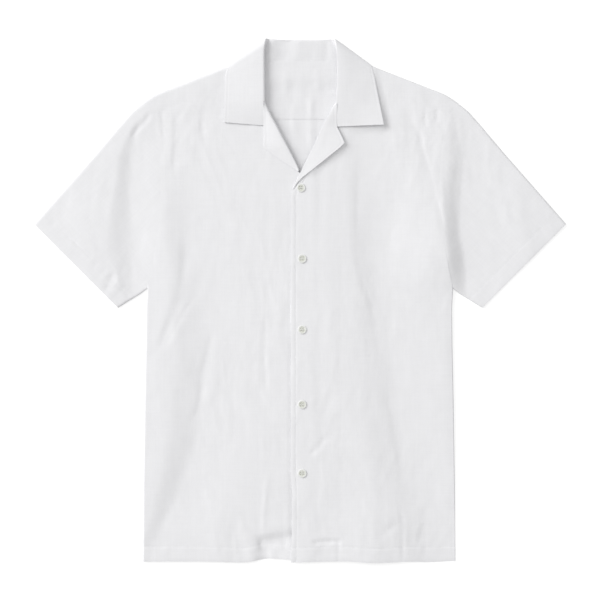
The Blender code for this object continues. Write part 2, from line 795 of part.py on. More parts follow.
def build_buttons(parts, cutters):
    blank = button_mesh(parts, cutters)
    for number, up in enumerate(BUTTON_UPS, start=1):
        name = f"button_{number}"
        mesh = blank.copy()
        mesh.name = name
        give_finish(mesh, name, PEARL)
        button = bpy.data.objects.new(name, mesh)
        button.location = Vector(place(LEFT, BUTTON_OUT, up, BUTTON_SEAT_LIFT)) * MM
        parts.objects.link(button)
    bpy.data.meshes.remove(blank)


def main():
    clear_scene()
    parts, cutters = make_collections()
    build_back_body(parts)
    build_back_yoke(parts)
    for side in (LEFT, RIGHT):
        build_front(side, parts)
        build_sleeve(side, parts)
        build_lapel(side, parts)
    build_collar(parts)
    build_buttons(parts, cutters)


main()
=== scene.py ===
"""The looks of a white linen camp collar shirt, buttoned up and laid flat on its back.

Sizes are in millimetres until a mesh is made. Tables describe one half of the shirt, as the
CAD does. A place is a pair: out, its distance from the centre line, and up, its distance
above the hem. A negative out reaches over the centre line. A lift or a height is the distance
above the surface that the shirt lies on. The wearer's left is at +X.
"""

import math
from collections import namedtuple

import bpy
import numpy as np
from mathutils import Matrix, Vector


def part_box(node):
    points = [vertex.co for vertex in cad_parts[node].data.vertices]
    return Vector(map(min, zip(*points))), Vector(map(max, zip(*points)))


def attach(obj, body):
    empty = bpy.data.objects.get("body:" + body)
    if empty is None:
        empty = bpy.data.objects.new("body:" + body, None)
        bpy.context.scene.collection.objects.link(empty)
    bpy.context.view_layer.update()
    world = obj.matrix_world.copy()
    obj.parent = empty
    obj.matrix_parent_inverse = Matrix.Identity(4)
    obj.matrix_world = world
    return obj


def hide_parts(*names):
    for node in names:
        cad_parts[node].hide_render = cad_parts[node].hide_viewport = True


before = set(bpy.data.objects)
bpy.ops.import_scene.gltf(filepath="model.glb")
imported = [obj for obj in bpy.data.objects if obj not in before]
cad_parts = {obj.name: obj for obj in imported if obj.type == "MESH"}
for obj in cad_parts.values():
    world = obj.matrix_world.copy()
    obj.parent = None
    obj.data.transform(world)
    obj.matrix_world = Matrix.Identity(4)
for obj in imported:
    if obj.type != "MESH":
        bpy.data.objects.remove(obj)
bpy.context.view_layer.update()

MM = 0.001
LEFT, RIGHT = 1, -1
SIDE_NAMES = {LEFT: "left", RIGHT: "right"}
BODY = "root"

HEM_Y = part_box("back_body")[0].y / MM
BUTTON_NODES = [name for name in sorted(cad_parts) if name.startswith("button_")]

# ---- outline, as cut and laid ----

BODY_SIDE = ((234.5, 0), (233.5, 120), (231.7, 240), (229.8, 330), (229, 409))
ARMHOLE = ((229, 409), (219, 455), (211, 510), (208.5, 565), (211, 620), (221, 667), (235.5, 687.5))
SHOULDER = ((78, 754), (146, 727.6), (190, 710.4), (213.5, 701.3), (229.5, 692), (235.5, 687.5))
SLEEVE_TOP = ((252, 674.3), (268, 656.3), (306, 611.3), (398.5, 506))
UNDERARM = ((239.7, 401.1), (263.7, 386.3), (273, 380.5))
CUFF = (SLEEVE_TOP[-1], UNDERARM[-1])
BACK_NECK = ((0, 750.0), (26, 750.2), (52, 752.0), (66, 753.8))
HEM_OUT = BODY_SIDE[0][0]
# A front's grid has a row that ends at the armpit and starts higher, on its edge
ARMPIT_UP, ARMPIT_ROW_UP = ARMHOLE[0][1], 430
NECK_OUT, TIP_OUT = SHOULDER[0][0], ARMHOLE[-1][0]
YOKE_SEAM_UP = 663.4
FORWARD_SEAM_NECK, FORWARD_SEAM_ARMHOLE_UP = (72.3, 731.7), 671

FRONT_EDGE = {
    LEFT: (
        (-13.6, 0), (-12.6, 60), (-12.4, 100), (-14, 135), (-14, 547), (-11.3, 556), (-5.5, 562.5),
        (16.2, 606), (27.3, 628), (39.2, 652), (51.8, 674), (64, 697), (71, 722), FORWARD_SEAM_NECK,
    ),
    RIGHT: (
        (-17, 0), (-17, 545), (-9, 572), (2.5, 584.5), (6.5, 590.5), (13.3, 604.5), (22.6, 622.5),
        (34.5, 645), (47.5, 668), (60.5, 692), (70, 720), FORWARD_SEAM_NECK,
    ),
}

# How far the hem's edge waves off its straight line, by its distance out
HEM_WAVES = {
    LEFT: (
        (-14, -0.9), (0, -0.4), (45, 0.6), (75, 0.9), (105, -1.2), (135, -0.6), (165, 0.4), (195, -0.7),
        (225, 0.8), (235, 0.5),
    ),
    RIGHT: (
        (-17, 3.0), (15, 3.6), (45, 4.8), (60, 3.2), (75, 0.2), (90, -1.0), (120, 0), (150, 0.5),
        (210, 0.5), (235, 0.2),
    ),
}
HEM_WAVE_REACH = 70
BACK_HEM_RISE = 1.2

# ---- how the layers lie ----

CLOTH, DOUBLED, TURNED_CLOTH, SEAM_CLOTH = 0.55, 1.05, 1.0, 0.12
HEM_DEPTH, CUFF_DEPTH = 24, 25
FACING_OUT = {LEFT: 57.5, RIGHT: 57}
FACING_RIDGE, FACING_RIDGE_UP, FACING_RIDGE_FADE = 0.14, 500, 120
FACING_WIDTH, FACING_UP, FACING_FADE = 57, 540, 40
UNDERSIDE = 0.05
BACK_TOP = UNDERSIDE + CLOTH
LOWEST_TOP, SOFTNESS = UNDERSIDE + 2.05 * CLOTH, 0.3
FRONT_TOP = 4.6
# The overlapping front climbs over the one below it
LAP_RISE, LAP_STEP_SHARE, LAP_STEP_WIDTH = 1.55, 0.25, 14
UNDERLAP_OUT, LAP_FADE = 17, 95
LAP_UP, LAP_UP_FADE = 580, 110
LAP_STEP_UP, LAP_STEP_FADE = 15, 60
# How deep the front below drops at the other's edge, by its distance above the hem
UNDERLAP_DROPS = (
    (0, 0.5), (60, 0.7), (100, 0.9), (135, 0.6), (200, 0.6), (300, 0.5), (450, 0.3), (545, 0.25), (560, 0),
)
UNDERLAP_END_UP, UNDERLAP_DROP_WIDTH = 547, 4
NECK_RISE_OUT, NECK_RISE_FADE = 112, 24
BACK_RISE, BACK_RISE_UP, BACK_RISE_RUN = 1.5, 704, 24
NECK_SIDE_RISE, NECK_SIDE_UP, NECK_SIDE_RUN = {LEFT: (0.1, 24), RIGHT: (0.5, 14)}, 590, 60
NECK_CREASES_OUT, NECK_CREASES_UP, NECK_CREASES_RUN = 75, 540, 60
COLLAR_SEAM_UP = 722
FRONT_RISE, FRONT_RISE_OUT, FRONT_RISE_FADE = 0.7, 100, 50
FRONT_RISE_UP, FRONT_RISE_RUN = 670, 60
EDGE_ROUNDING, SIDE_ROUNDING = 4.2, 1.3
SIDE_SLOPE, SIDE_SLOPE_REACH = {LEFT: -0.35, RIGHT: 0.12}, 12
SIDE_FADE = 26
BODY_SHIFT, BODY_SHIFT_FADE = {LEFT: 1.8, RIGHT: 1.1}, 34
SLEEVE_TUCK, SLEEVE_SINK = 0.25, 0.03
# From armhole to cuff: along the sleeve's middle, and as its rings are counted
SLEEVE_RUN, SLEEVE_LENGTH = 190, 195
SLEEVE_THINNING, SLEEVE_THINNING_RUN = 0.7, 140
CUFF_RELIEF = {LEFT: 0.6, RIGHT: 1.0}
YOKE_BACK_LIFT, YOKE_OVERLAP = 0.45, 4
# The low ridge that a seam's hidden allowance raises beside it
SEAM_RIDGE, SEAM_RIDGE_IN = 0.1, 6

# ---- collar and lapels ----

ROLL = {
    LEFT: (
        (-14, 548), (-9.3, 560.5), (5.6, 591.5), (19, 619), (29.8, 642), (40, 663), (53.3, 687.5),
        (55, 717), (55, 745), (54, 765),
    ),
    RIGHT: (
        (1, 585.5), (8.5, 602.9), (15.3, 616.6), (22.8, 630.2), (36.4, 657.5), (44.2, 671.1), (52.3, 688),
        (52.9, 717), (53.1, 745), (53, 765),
    ),
}
# How high the cloth turns over above the front below it, by its distance above the hem
ROLL_RISE = {
    LEFT: (
        (555, -0.7), (575, -0.3), (620, 0.8), (655, 2.2), (672, 3.4), (690, 4.8), (730, 5.4), (765, 5.8),
    ),
    RIGHT: ((555, 0.3), (585, 1.8), (620, 3.6), (655, 4.4), (672, 4.6), (690, 4.8), (730, 5.0), (765, 5.4)),
}
ROLL_SHOULDER, ROLL_SHOULDER_REACH = {LEFT: 0.06, RIGHT: 0.0}, 10
SMALL_ROLL, LARGE_ROLL = 0.2, {LEFT: 0.2, RIGHT: 2.4}
ROLL_GROWTH_UP, ROLL_GROWTH = 560, 80
TURNED_CLEARANCE = {LEFT: 0.85, RIGHT: 0.5}
# How much thinner the cloth is pressed where it turns over
ROLL_PRESS = {LEFT: 0.5, RIGHT: 0.0}
FOOT_GAP, FOOT_SINK = 0.9, 0.5
FALL_WAVES, STAND_WAVES, LAPEL_WAVES = 0.16, 0.9, 0.14

CollarSection = namedtuple(
    "CollarSection",
    "foot_out foot_up foot_lift roll_out roll_up centre_lift radius edge_out edge_up edge_lift lean",
)
BACK_SECTIONS = (
    CollarSection(0, 745.5, 1.6, 0, 782.0, 1.9, 1.3, 0, 733.0, 0.6, -90),
    CollarSection(30, 745.8, 1.6, 25, 782.2, 1.9, 1.3, 38, 733.5, 0.6, -90),
    CollarSection(55, 748.0, 1.7, 41, 783.0, 2.2, 1.3, 72, 736.0, 0.6, -85),
    CollarSection(70, 752.8, 2.3, 47.5, 783.2, 3.0, 1.3, 98.5, 744.4, 0.6, -70),
    CollarSection(74.6, 754.8, 2.6, 48.6, 783.2, 4.7, 1.3, 101.6, 745.2, 1.2, -30),
    CollarSection(77.0, 755.6, 3.0, 49.6, 783.0, 6.0, 1.4, 104.4, 744.9, 3.0, 0),
    CollarSection(75.4, 750.6, 3.6, 50.2, 782.2, 7.6, 1.5, 106.1, 743.4, 4.9, 35),
    CollarSection(73.8, 744.0, 3.9, 51.2, 778.5, 9.0, 1.7, 107.3, 741.0, 5.7, 65),
)
FrontSection = namedtuple("FrontSection", "roll_up foot_up edge_share")
FRONT_SECTIONS = (FrontSection(765, 736, 0.06), FrontSection(745, 721, 0.17), FrontSection(717, 700, 0.40))
GORGE_TOP = {LEFT: FrontSection(687.5, 687.0, 0.62), RIGHT: FrontSection(688.5, 688.0, 0.62)}
# lift is how far the inner edge stands off the front below, as FALL_EDGE_LIFTS is for the outer edge
GorgeSection = namedtuple("GorgeSection", "out up edge_share lift")
GORGE = {
    LEFT: (GorgeSection(54.6, 670, 0.8, 3.5), GorgeSection(54.9, 651.5, 1, 1.4)),
    RIGHT: (GorgeSection(54.9, 670, 0.8, 3.1), GorgeSection(55.0, 653.4, 1, 0.5)),
}
FALL_EDGE_LIFTS = {LEFT: (0.8, 1.5, 2.4, 3.3, 4.3, 5.0), RIGHT: (0.6, 0.7, 0.7, 0.7, 0.7, 0.7)}
COLLAR_OUTER_EDGE = {LEFT: ((109.3, 734), (125, 654)), RIGHT: ((111.0, 734), (114.3, 658))}
COLLAR_ROW_COUNTS = (12, 10, 8, 6, 5, 5, 6, 6, 6, 7, 8, 8, 9)

# Each row's roll, out and up, its free edge, out and up, and that edge's lift
LAPEL_ROWS = {
    LEFT: (
        (52.9, 686.6, 54.4, 686.0, 5.6), (49.9, 683.7, 54.9, 681.8, 4.8), (44.9, 674.2, 54.9, 669.5, 3.3),
        (39.1, 663.7, 54.9, 657.0, 2.0), (34.9, 654.2, 55.4, 650.4, 1.8), (29.1, 642.7, 62.3, 636.7, 2.9),
        (24.2, 632.2, 66.3, 626.7, 3.6), (18.3, 619.7, 59.3, 619.7, 3.6), (11.6, 606.2, 44.8, 608.3, 3.2),
        (4.9, 592.2, 30.3, 596.5, 2.5), (-1.0, 580.2, 16.3, 585.7, 1.6), (-5.9, 570.2, 3.8, 576.2, 0.6),
        (-9.3, 562.7, -4.9, 567.2, -0.2), (-11.5, 557.7, -9.3, 560.2, -0.8),
    ),
    RIGHT: (
        (52.3, 688.0, 54.2, 687.4, 5.7), (50.3, 683.2, 54.9, 681.0, 5.0), (44.9, 671.8, 54.9, 667.0, 2.6),
        (39.2, 661.2, 54.9, 656.0, 0.9), (34.2, 652.2, 54.9, 649.2, 0.4), (28.5, 640.7, 53.9, 637.7, 0.1),
        (22.2, 628.7, 55.0, 625.2, 0.2), (18.2, 621.5, 52.7, 617.7, 0.3), (13.2, 611.7, 38.7, 607.9, 0.35),
        (9.2, 603.6, 27.7, 600.0, 0.35), (5.9, 596.7, 16.7, 592.7, 0.25), (3.3, 590.7, 8.2, 587.0, 0.0),
        (1.7, 586.5, 3.3, 584.3, 0.0),
    ),
}
LAPEL_ROW_COUNT = 7

BEND_TURNS = np.radians(np.arange(-90, 91, 15))
STAND_SHARES = np.array((0, 0.04, 0.12, 0.25, 0.4, 0.55, 0.7, 0.82, 0.91, 0.97))
FALL_SHARES = np.linspace(0, 0.87, 24)[1:]
FALL_SHARES = np.concatenate((FALL_SHARES, (0.89, 0.905, 0.92, 0.935, 0.95, 0.97, 0.99, 1.0)))
FALL_START = len(STAND_SHARES) + len(BEND_TURNS) - 1

# ---- creases, placed one by one ----

# A negative height is a trough. lean makes the flank on the right of the path the wider one
Fold = namedtuple("Fold", "height width lean path")
UPPER_FOLDS = {
    RIGHT: (
        # body
        Fold(-0.7, 9, 0.2, ((171, 500), (179, 404), (203, 335), (212, 295))),
        Fold(-0.6, 7, 0.3, ((128, 358), (142, 300), (152, 235), (166, 195))),
        Fold(-0.3, 3.5, 0.3, ((157, 402), (175, 372), (205, 318))),
        Fold(-0.45, 4, 0, ((52, 375), (54, 310), (50, 245))),
        Fold(0.45, 3.5, 0, ((49, 134), (53, 85), (57, 40))),
        Fold(-1.9, 18, 0.45, ((55, 44), (54, 30), (56, 12), (56, -14))),
        Fold(-2.3, 20, -0.4, ((66, 20), (58, 23), (50, 26), (34, 30), (20, 34), (-6, 42))),
        Fold(0.6, 10, 0, ((95, 70), (78, 40), (72, -4))),
        # below the yoke
        Fold(-0.7, 8, 0.4, ((186, 676), (186, 636), (189, 580))),
        Fold(-0.4, 5, 0.3, ((146, 684), (148, 655), (142, 622))),
        Fold(-0.4, 4, 0.3, ((209, 682), (207, 660), (205, 632))),
        # sleeve
        Fold(-0.9, 4, 0, ((224, 674), (233, 659), (246, 646), (252, 630))),
        Fold(-0.45, 6, 0, ((262, 446), (268, 434), (262, 416))),
        Fold(-0.45, 6, 0.3, ((276, 436), (283, 424), (292, 404))),
        Fold(0.4, 7, 0, ((268, 440), (274, 424), (276, 404))),
    ),
    LEFT: (
        # body
        Fold(-0.4, 8, -0.3, ((89, 625), (86, 473), (106, 381), (116, 330))),
        Fold(-0.4, 9, -0.3, ((127, 270), (138, 220), (150, 150), (153, 98))),
        Fold(-0.4, 4, -0.3, ((150, 84), (153, 50), (153, -6))),
        Fold(-0.6, 7, 0, ((190, 88), (186, 55), (180, 22))),
        Fold(-0.6, 7, 0, ((152, 60), (135, 50), (118, 38))),
        Fold(-0.6, 5, 0, ((42, 192), (28, 173), (12, 158))),
        Fold(-1.2, 4, 0, ((16, 28.5), (42, 31), (66, 29))),
        Fold(-0.4, 2.5, 0, ((57, 40), (57, 20), (56.5, -6))),
        # below the yoke and beside the armhole
        Fold(-0.5, 3.5, 0, ((205, 682), (205, 670), (203, 655))),
        Fold(-0.5, 4, 0, ((187, 684), (187, 668), (188, 650))),
        Fold(-0.4, 5.5, 0.35, (
            (155, 690), (165, 662), (180, 638), (184, 617), (193, 587), (201, 553), (210, 519), (219, 480),
        )),
        Fold(0.22, 4.5, 0.3, ((228, 678), (216, 630), (212, 580), (214.5, 540), (219, 500))),
        # under the edges of the collar and the lapel
        Fold(1.9, 8, 0, (
            (108, 765), (108, 734), (114, 695), (121, 658), (119, 653), (100, 653.5), (74, 653), (50, 655),
        )),
        Fold(1.5, 7, 0, ((66, 640), (63, 626), (57, 620), (42, 609), (28, 598), (14, 587), (2, 576))),
    ),
}

# Where the cloth swells to a crest over the approach, drops through a width, and comes back
# level over the run; toward is 1 for a drop outward and -1 for one toward the centre line.
# Each row holds up, out, the drop's width, the crest's height and the dip's depth
Step = namedtuple("Step", "toward approach run rows")
STEPS = {
    LEFT: (
        Step(1, 75, 85, (
            (0, 166, 108, 3.2, 3.2), (60, 164, 106, 3.1, 3.2), (90, 150, 82, 2.3, 2.9),
            (100, 146, 76, 2.0, 2.8), (200, 125, 60, 2.0, 2.4), (300, 110, 66, 1.8, 1.9),
            (400, 101, 40, 1.9, 1.8), (500, 88, 42, 1.3, 1.4), (590, 84, 36, 0.6, 0.6), (640, 82, 30, 0, 0),
        )),
        Step(1, 95, 110, (
            (0, 250, 20, 0.3, 0), (300, 245, 20, 0.3, 0.1), (395, 240, 22, 0.9, 0.7),
            (410, 237, 24, 2.2, 2.3), (425, 236, 30, 4.4, 3.2), (445, 235.0, 31, 6.1, 3.4),
            (460, 233.5, 30, 6.7, 3.4), (475, 230.5, 30, 6.4, 3.5), (490, 228, 29, 5.4, 3.5),
            (520, 227.5, 29, 3.5, 3.3), (560, 228, 31, 2.2, 3.1), (600, 234, 25, 1.6, 2.2),
            (640, 231, 14, 0.9, 0.9), (665, 228, 12, 0.3, 0.3), (690, 226, 12, 0, 0),
        )),
    ),
    RIGHT: (
        Step(-1, 60, 100, (
            (0, 232, 22, 0.3, 0.3), (40, 222, 24, 1.0, 1.2), (100, 199, 36, 1.9, 2.2),
            (200, 171, 52, 1.8, 2.2), (300, 162, 58, 1.6, 2.0), (400, 171, 46, 1.6, 1.8),
            (500, 183, 42, 1.4, 1.2), (570, 184, 36, 0.5, 0.5), (620, 184, 30, 0, 0),
        )),
        Step(-1, 110, 60, (
            (395, 258, 18, 0.2, 0.2), (430, 264, 28, 1.6, 1.1), (470, 271, 42, 2.5, 1.9),
            (520, 270, 34, 2.5, 1.7), (560, 266, 27, 2.3, 1.6), (610, 262, 23, 1.8, 1.4),
            (640, 251, 15, 1.0, 0.9), (668, 240, 10, 0, 0),
        )),
    ),
}
STEP_SPREAD = np.array((-16, -8, 0, 8, 16))

# Creases of the back inside the neck; their paths hold X, with a sign, and up
BACK_FOLDS = (
    Fold(0.7, 5, 0, ((17, 705), (15.5, 660), (17, 610))),
    Fold(0.6, 7, 0, ((-24, 742), (-22, 715), (-26, 690))),
    Fold(0.55, 6, 0, ((24, 744), (27, 722), (25, 702))),
    Fold(0.5, 4.5, 0, ((-8, 690), (-10, 670), (-9, 640))),
)

# What is left of the cloth's crumpling once it is pressed and laid
Crumple = namedtuple("Crumple", "height across length turn crisp")
CRUMPLES = (
    Crumple(0.50, 32, 130, 4, False),
    Crumple(0.20, 14, 60, -9, False),
    Crumple(0.17, 17, 60, 12, True),
    Crumple(0.08, 6.5, 24, -6, False),
    Crumple(0.07, 9, 12, 35, True),
)

CRUMPLE_SEED = {LEFT: 11, RIGHT: 71}
HEM_SEED, EDGE_SEED, CUFF_SEED, BACK_SEED, FALL_SEED, STAND_SEED, LAPEL_SEED = 5, 31, 41, 301, 501, 511, 551

# ---- meshes ----

FRONT_STEP, BACK_STEP, SLEEVE_STEP, YOKE_STEP = 2.6, 4.0, 3.0, 3.0
FRONT_COLUMNS, BACK_COLUMNS, YOKE_COLUMNS, SLEEVE_COLUMNS = 240, 234, 165, 270
EDGE_STEPS = (0, 0.35, 0.9, 1.7)
MARK_STEPS = (-1.6, -0.8, 0, 0.8, 1.6)
LEAST_STEP = 0.25
FOLD_TURNS = np.radians((0, 18, 36, 54, 72, 90))
# How many rows each half of the yoke has, and how far the last ones lie from its seam
YOKE_BACK_ROWS, YOKE_FRONT_ROWS = (28, (2.2, 1.1, 0.4, 0)), (10, (0.9, 0.35, 0))
RIM, FRONT_RIM = 0.12, 0.06
# How far the hidden rows reach: the fronts' under the yoke and the sleeves' under the body
YOKE_TUCKS, SLEEVE_TUCKS = (1.5, 3.5, 5.5), (5, 2.5)

# ---- stitching ----

STITCH_PITCH, STITCH_LENGTH, STITCH_RADIUS = 3.0, 2.2, 0.16
STITCH_LIFT = 0.4 * STITCH_RADIUS
STITCH_SIDES = 6
# Where a stitch's rings lie and how wide they are, as shares of its length and its radius
STITCH_STATIONS = ((-0.5, 0.35), (-0.36, 0.9), (0, 1), (0.36, 0.9), (0.5, 0.35))
STITCH_TIP = 0.52
STITCH_FROM_FOLD, FRONT_STITCH, EDGE_STITCH = 2, 7.2, 4
# Where the rows of stitches start and end: the hem's outward, the front edge's upward, and
# the cuff's as shares of its width
HEM_STITCHES, FRONT_STITCHES = {LEFT: (-12, 231, 1.0), RIGHT: (16, 231, 1.0)}, (4, 545, 1.0)
CUFF_STITCHES = (0.045, 0.955)
# How the cloth sinks along each stitching, swells beside it, and drops at the edge
HEM_GROOVE, HEM_RIDGE, HEM_PUCKER, HEM_EDGE_DROP = 0.22, 0.1, 0.18, 0.25
FRONT_GROOVE, FRONT_PUCKER, FRONT_EDGE_DROP = 0.24, 0.14, 0.16
EDGE_GROOVE, EDGE_RIDGE = 0.11, 0.04

# ---- buttons ----

BUTTON_SEGMENTS = 48
ButtonRing = namedtuple("ButtonRing", "radius height")
BUTTON_FACE = (
    ButtonRing(0.02, 1.45), ButtonRing(1.2, 1.45), ButtonRing(2.4, 1.45), ButtonRing(3.6, 1.5),
    ButtonRing(4.4, 1.62), ButtonRing(5.2, 1.75), ButtonRing(5.9, 1.7), ButtonRing(6.4, 1.45),
    ButtonRing(6.6, 1.1), ButtonRing(6.4, 0.75), ButtonRing(5.8, 0.5), ButtonRing(3.0, 0.4),
    ButtonRing(0.02, 0.4),
)
BUTTON_SINK = 0.3
DISH_RADIUS = 4.7
HOLE_RADIUS, HOLE_SPACING, HOLE_DEPTH = 0.9, 3.2, 1.1
THREAD_RADIUS = 0.32
# The top button lies off the centre line, beside the lapel's end
TOP_BUTTON_SHIFT, LAPEL_END_UP = -1.7, 540

# ---- looks ----

LINEN = (0.851, 0.85, 0.865)
THREAD = (0.86, 0.865, 0.875)
PEARL_RIM = ((0.78, 0.79, 0.76), (0.86, 0.865, 0.85))
# The dish's colours are greener and darker than the rim's. The green is the resin's own, and the darker tone
# is painted shade in the button's shallow hollow
PEARL_DISH_TINT_AND_SHADE = ((0.62, 0.635, 0.56), (0.78, 0.785, 0.73))
SLEEVE_GRAIN = math.radians(-46)
THREADS_PER_METRE = 650.0
FLOOR_HALF, FLOOR_DIFFUSE, FLOOR_GLOW = 4.0, 0.45, 0.70
KEY_PLACE, KEY_SIZE, KEY_POWER = (-9.42, 5.44, 6.1), 8.0, 1190
AMBIENT = 0.61
CAMERA_PLACE, CAMERA_LENS = (-0.0003, -0.00145, 2.125), 85

# ---- lines ----


def smooth(t):
    """0 below 0, 1 above 1, and an S curve between."""
    t = np.clip(t, 0.0, 1.0)
    return t * t * (3 - 2 * t)


def bell(distance, width):
    return np.exp(-((distance / width) ** 2))


def unit(vectors):
    return vectors / np.linalg.norm(vectors, axis=-1, keepdims=True)


def right_of(directions):
    """The plan directions to the right of others."""
    return np.stack((directions[..., 1], -directions[..., 0]), axis=-1)


def reaches(line):
    """The distance along a line at each of its points."""
    steps = np.linalg.norm(np.diff(line, axis=0), axis=1)
    return np.concatenate(([0.0], np.cumsum(steps)))


def along(line, shares):
    """The points at these shares of a line's length."""
    line = np.asarray(line, float)
    reach = reaches(line)
    at = np.asarray(shares, float) * reach[-1]
    return np.stack([np.interp(at, reach, axis) for axis in line.T], axis=-1)


def out_at(line, up):
    """How far out a climbing line is at these heights."""
    outs, ups = zip(*line)
    return np.interp(up, ups, outs)


def share_at(line, up):
    reach = reaches(line)
    return float(np.interp(up, line[:, 1], reach / reach[-1]))


def curve_through(points, steps=6):
    """A Catmull-Rom curve through the points, as a line of short steps."""
    points = np.array(points, float)
    padded = np.vstack((2 * points[0] - points[1], points, 2 * points[-1] - points[-2]))
    line = []
    for before, start, end, after in zip(padded, padded[1:], padded[2:], padded[3:]):
        for t in np.arange(steps) / steps:
            slope = (end - before) * t
            bend = (2 * before - 5 * start + 4 * end - after) * t**2
            twist = (3 * start - before - 3 * end + after) * t**3
            line.append(start + (slope + bend + twist) / 2)
    return np.array([*line, points[-1]])


def tangents(line, shares, step=0.01):
    shares = np.asarray(shares, float)
    return unit(along(line, np.minimum(shares + step, 1)) - along(line, np.maximum(shares - step, 0)))


def nearest_on(line, points):
    """How far points are from a line, positive on its right, and the share of its length there."""
    reach = reaches(line)
    best = np.full(len(points), np.inf)
    share = np.zeros(len(points))
    for index, (start, end) in enumerate(zip(line, line[1:])):
        step = end - start
        offset = points - start
        t = np.clip(offset @ step / (step @ step), 0, 1)
        away = np.linalg.norm(offset - t[:, None] * step, axis=1)
        turn = np.where(offset @ right_of(step) >= 0, 1, -1)
        nearer = away < np.abs(best)
        best = np.where(nearer, turn * away, best)
        share = np.where(nearer, (reach[index] + t * np.linalg.norm(step)) / reach[-1], share)
    return best, share


def graded(length, step, fine=(True, True), marks=()):
    """Distances along a length, a step apart, and close together at its ends and at marks."""
    places = list(np.linspace(0, length, int(round(length / step)) + 1))
    for at_end, near in zip((0, length), fine):
        if near:
            places += [abs(at_end - edge) for edge in EDGE_STEPS]
    places += [mark + offset for mark in marks for offset in MARK_STEPS]
    places = np.unique(np.round(places, 4))
    kept = [places[0]]
    for place in places[1:]:
        if place - kept[-1] > LEAST_STEP:
            kept.append(place)
    return np.array([*kept[:-1], length])


ARMHOLE_LINE = curve_through(ARMHOLE)
YOKE_SEAM_SHARE = share_at(ARMHOLE_LINE, YOKE_SEAM_UP)
FORWARD_SEAM_SHARE = share_at(ARMHOLE_LINE, FORWARD_SEAM_ARMHOLE_UP)
SHOULDER_LINE = curve_through(SHOULDER)


def armhole_points(shares, outward=0.0):
    """Points on the armhole, share 0 at the armpit and 1 at the shoulder, moved outward."""
    return along(ARMHOLE_LINE, shares) + outward * right_of(tangents(ARMHOLE_LINE, shares))


FORWARD_SEAM = np.array((FORWARD_SEAM_NECK, armhole_points(FORWARD_SEAM_SHARE)))
FORWARD_SEAM_RIGHT = right_of(unit(FORWARD_SEAM[1] - FORWARD_SEAM[0]))


def from_forward_seam(points):
    """How far points lie from the forward seam, positive toward the shoulder."""
    return -(points - FORWARD_SEAM[0]) @ FORWARD_SEAM_RIGHT


def armhole_distance(points):
    """How far inside the armhole points lie."""
    return -nearest_on(ARMHOLE_LINE, points)[0]


def from_cuff(points):
    cuff = np.array(CUFF)
    return (points - cuff[0]) @ right_of(unit(cuff[1] - cuff[0]))


# ---- unevenness ----


def value_noise(points, cell, seed):
    """Smooth noise from -1 to 1 over the plan, with cells of these sizes."""
    size = 128
    lattice = np.random.default_rng(seed).uniform(-1, 1, (size, size))
    at = points / np.asarray(cell, float)
    low = np.floor(at).astype(int)
    f = at - low
    w = f * f * f * (f * (f * 6 - 15) + 10)
    x0, y0 = low.T % size
    x1, y1 = (x0 + 1) % size, (y0 + 1) % size
    bottom = lattice[x0, y0] * (1 - w[:, 0]) + lattice[x1, y0] * w[:, 0]
    top = lattice[x0, y1] * (1 - w[:, 0]) + lattice[x1, y1] * w[:, 0]
    return bottom * (1 - w[:, 1]) + top * w[:, 1]


def turned_plan(points, degrees):
    """The points turned anticlockwise about the origin."""
    cosine, sine = math.cos(math.radians(degrees)), math.sin(math.radians(degrees))
    x, y = points.T
    return np.stack((x * cosine - y * sine, x * sine + y * cosine), axis=1)


def crumple(points, seed):
    """The height of soft, mostly lengthwise creases."""
    sway = np.stack([value_noise(points, (70, 90), seed + k) for k in (0, 1)], axis=1)
    swayed = points + 16 * sway
    strength = 0.75 + 0.5 * value_noise(points, (85, 130), seed + 2)
    total = np.zeros(len(points))
    for number, layer in enumerate(CRUMPLES):
        plan = turned_plan(swayed, layer.turn)
        wave = value_noise(plan, (layer.across, layer.length), seed + 3 + number)
        if layer.crisp:
            wave = 0.5 - np.sqrt(wave**2 + 0.01) * 2
        total += layer.height * wave
    return total * strength


def swing(share, number, turns, start):
    """An uneven swing from -1 to 1 along a fold, which differs from fold to fold."""
    return np.sin(2 * np.pi * (turns * share + start * number))


def fold_height(folds, points):
    """What the folds add: soft ridges and troughs that swell, thin out and end unevenly."""
    total = np.zeros(len(points))
    for number, fold in enumerate(folds):
        line = curve_through(fold.path)
        reach = 3.5 * abs(fold.width)
        near = np.all((points > line.min(0) - reach) & (points < line.max(0) + reach), axis=1)
        distance, share = nearest_on(line, points[near])
        ends = smooth(share / 0.22) * smooth((1 - share) / 0.22)
        swell = 1 + 0.22 * swing(share, number, 1.7, 0.37)
        swell += 0.12 * swing(share, number, 4.3, 0.61)
        width = fold.width * (1 + 0.18 * swing(share, number, 2.3, 0.19))
        width = width * (1 + fold.lean * np.sign(distance))
        shape = bell(distance, width) - 0.3 * bell(distance, 2.1 * width)
        total[near] += fold.height * ends * swell * shape / 0.7
    return total


def step_height(steps, points):
    """What the long drops of the cloth add, each with a crest before it and a dip beyond it."""
    total = np.zeros(len(points))
    for step in steps:
        columns = np.array(step.rows, float).T
        ups = points[:, 1, None] + STEP_SPREAD
        out, width, crest, dip = (np.interp(ups, columns[0], column).mean(axis=1) for column in columns[1:])
        distance = step.toward * (points[:, 0] - out)
        over = smooth(distance / width + 0.5)
        swell = smooth(1 + (distance + width / 2) / step.approach)
        level = 1 - smooth((distance - width / 2) / step.run)
        total += crest * swell * (1 - over) - dip * over * level
    return total


# ---- heights of the layers ----


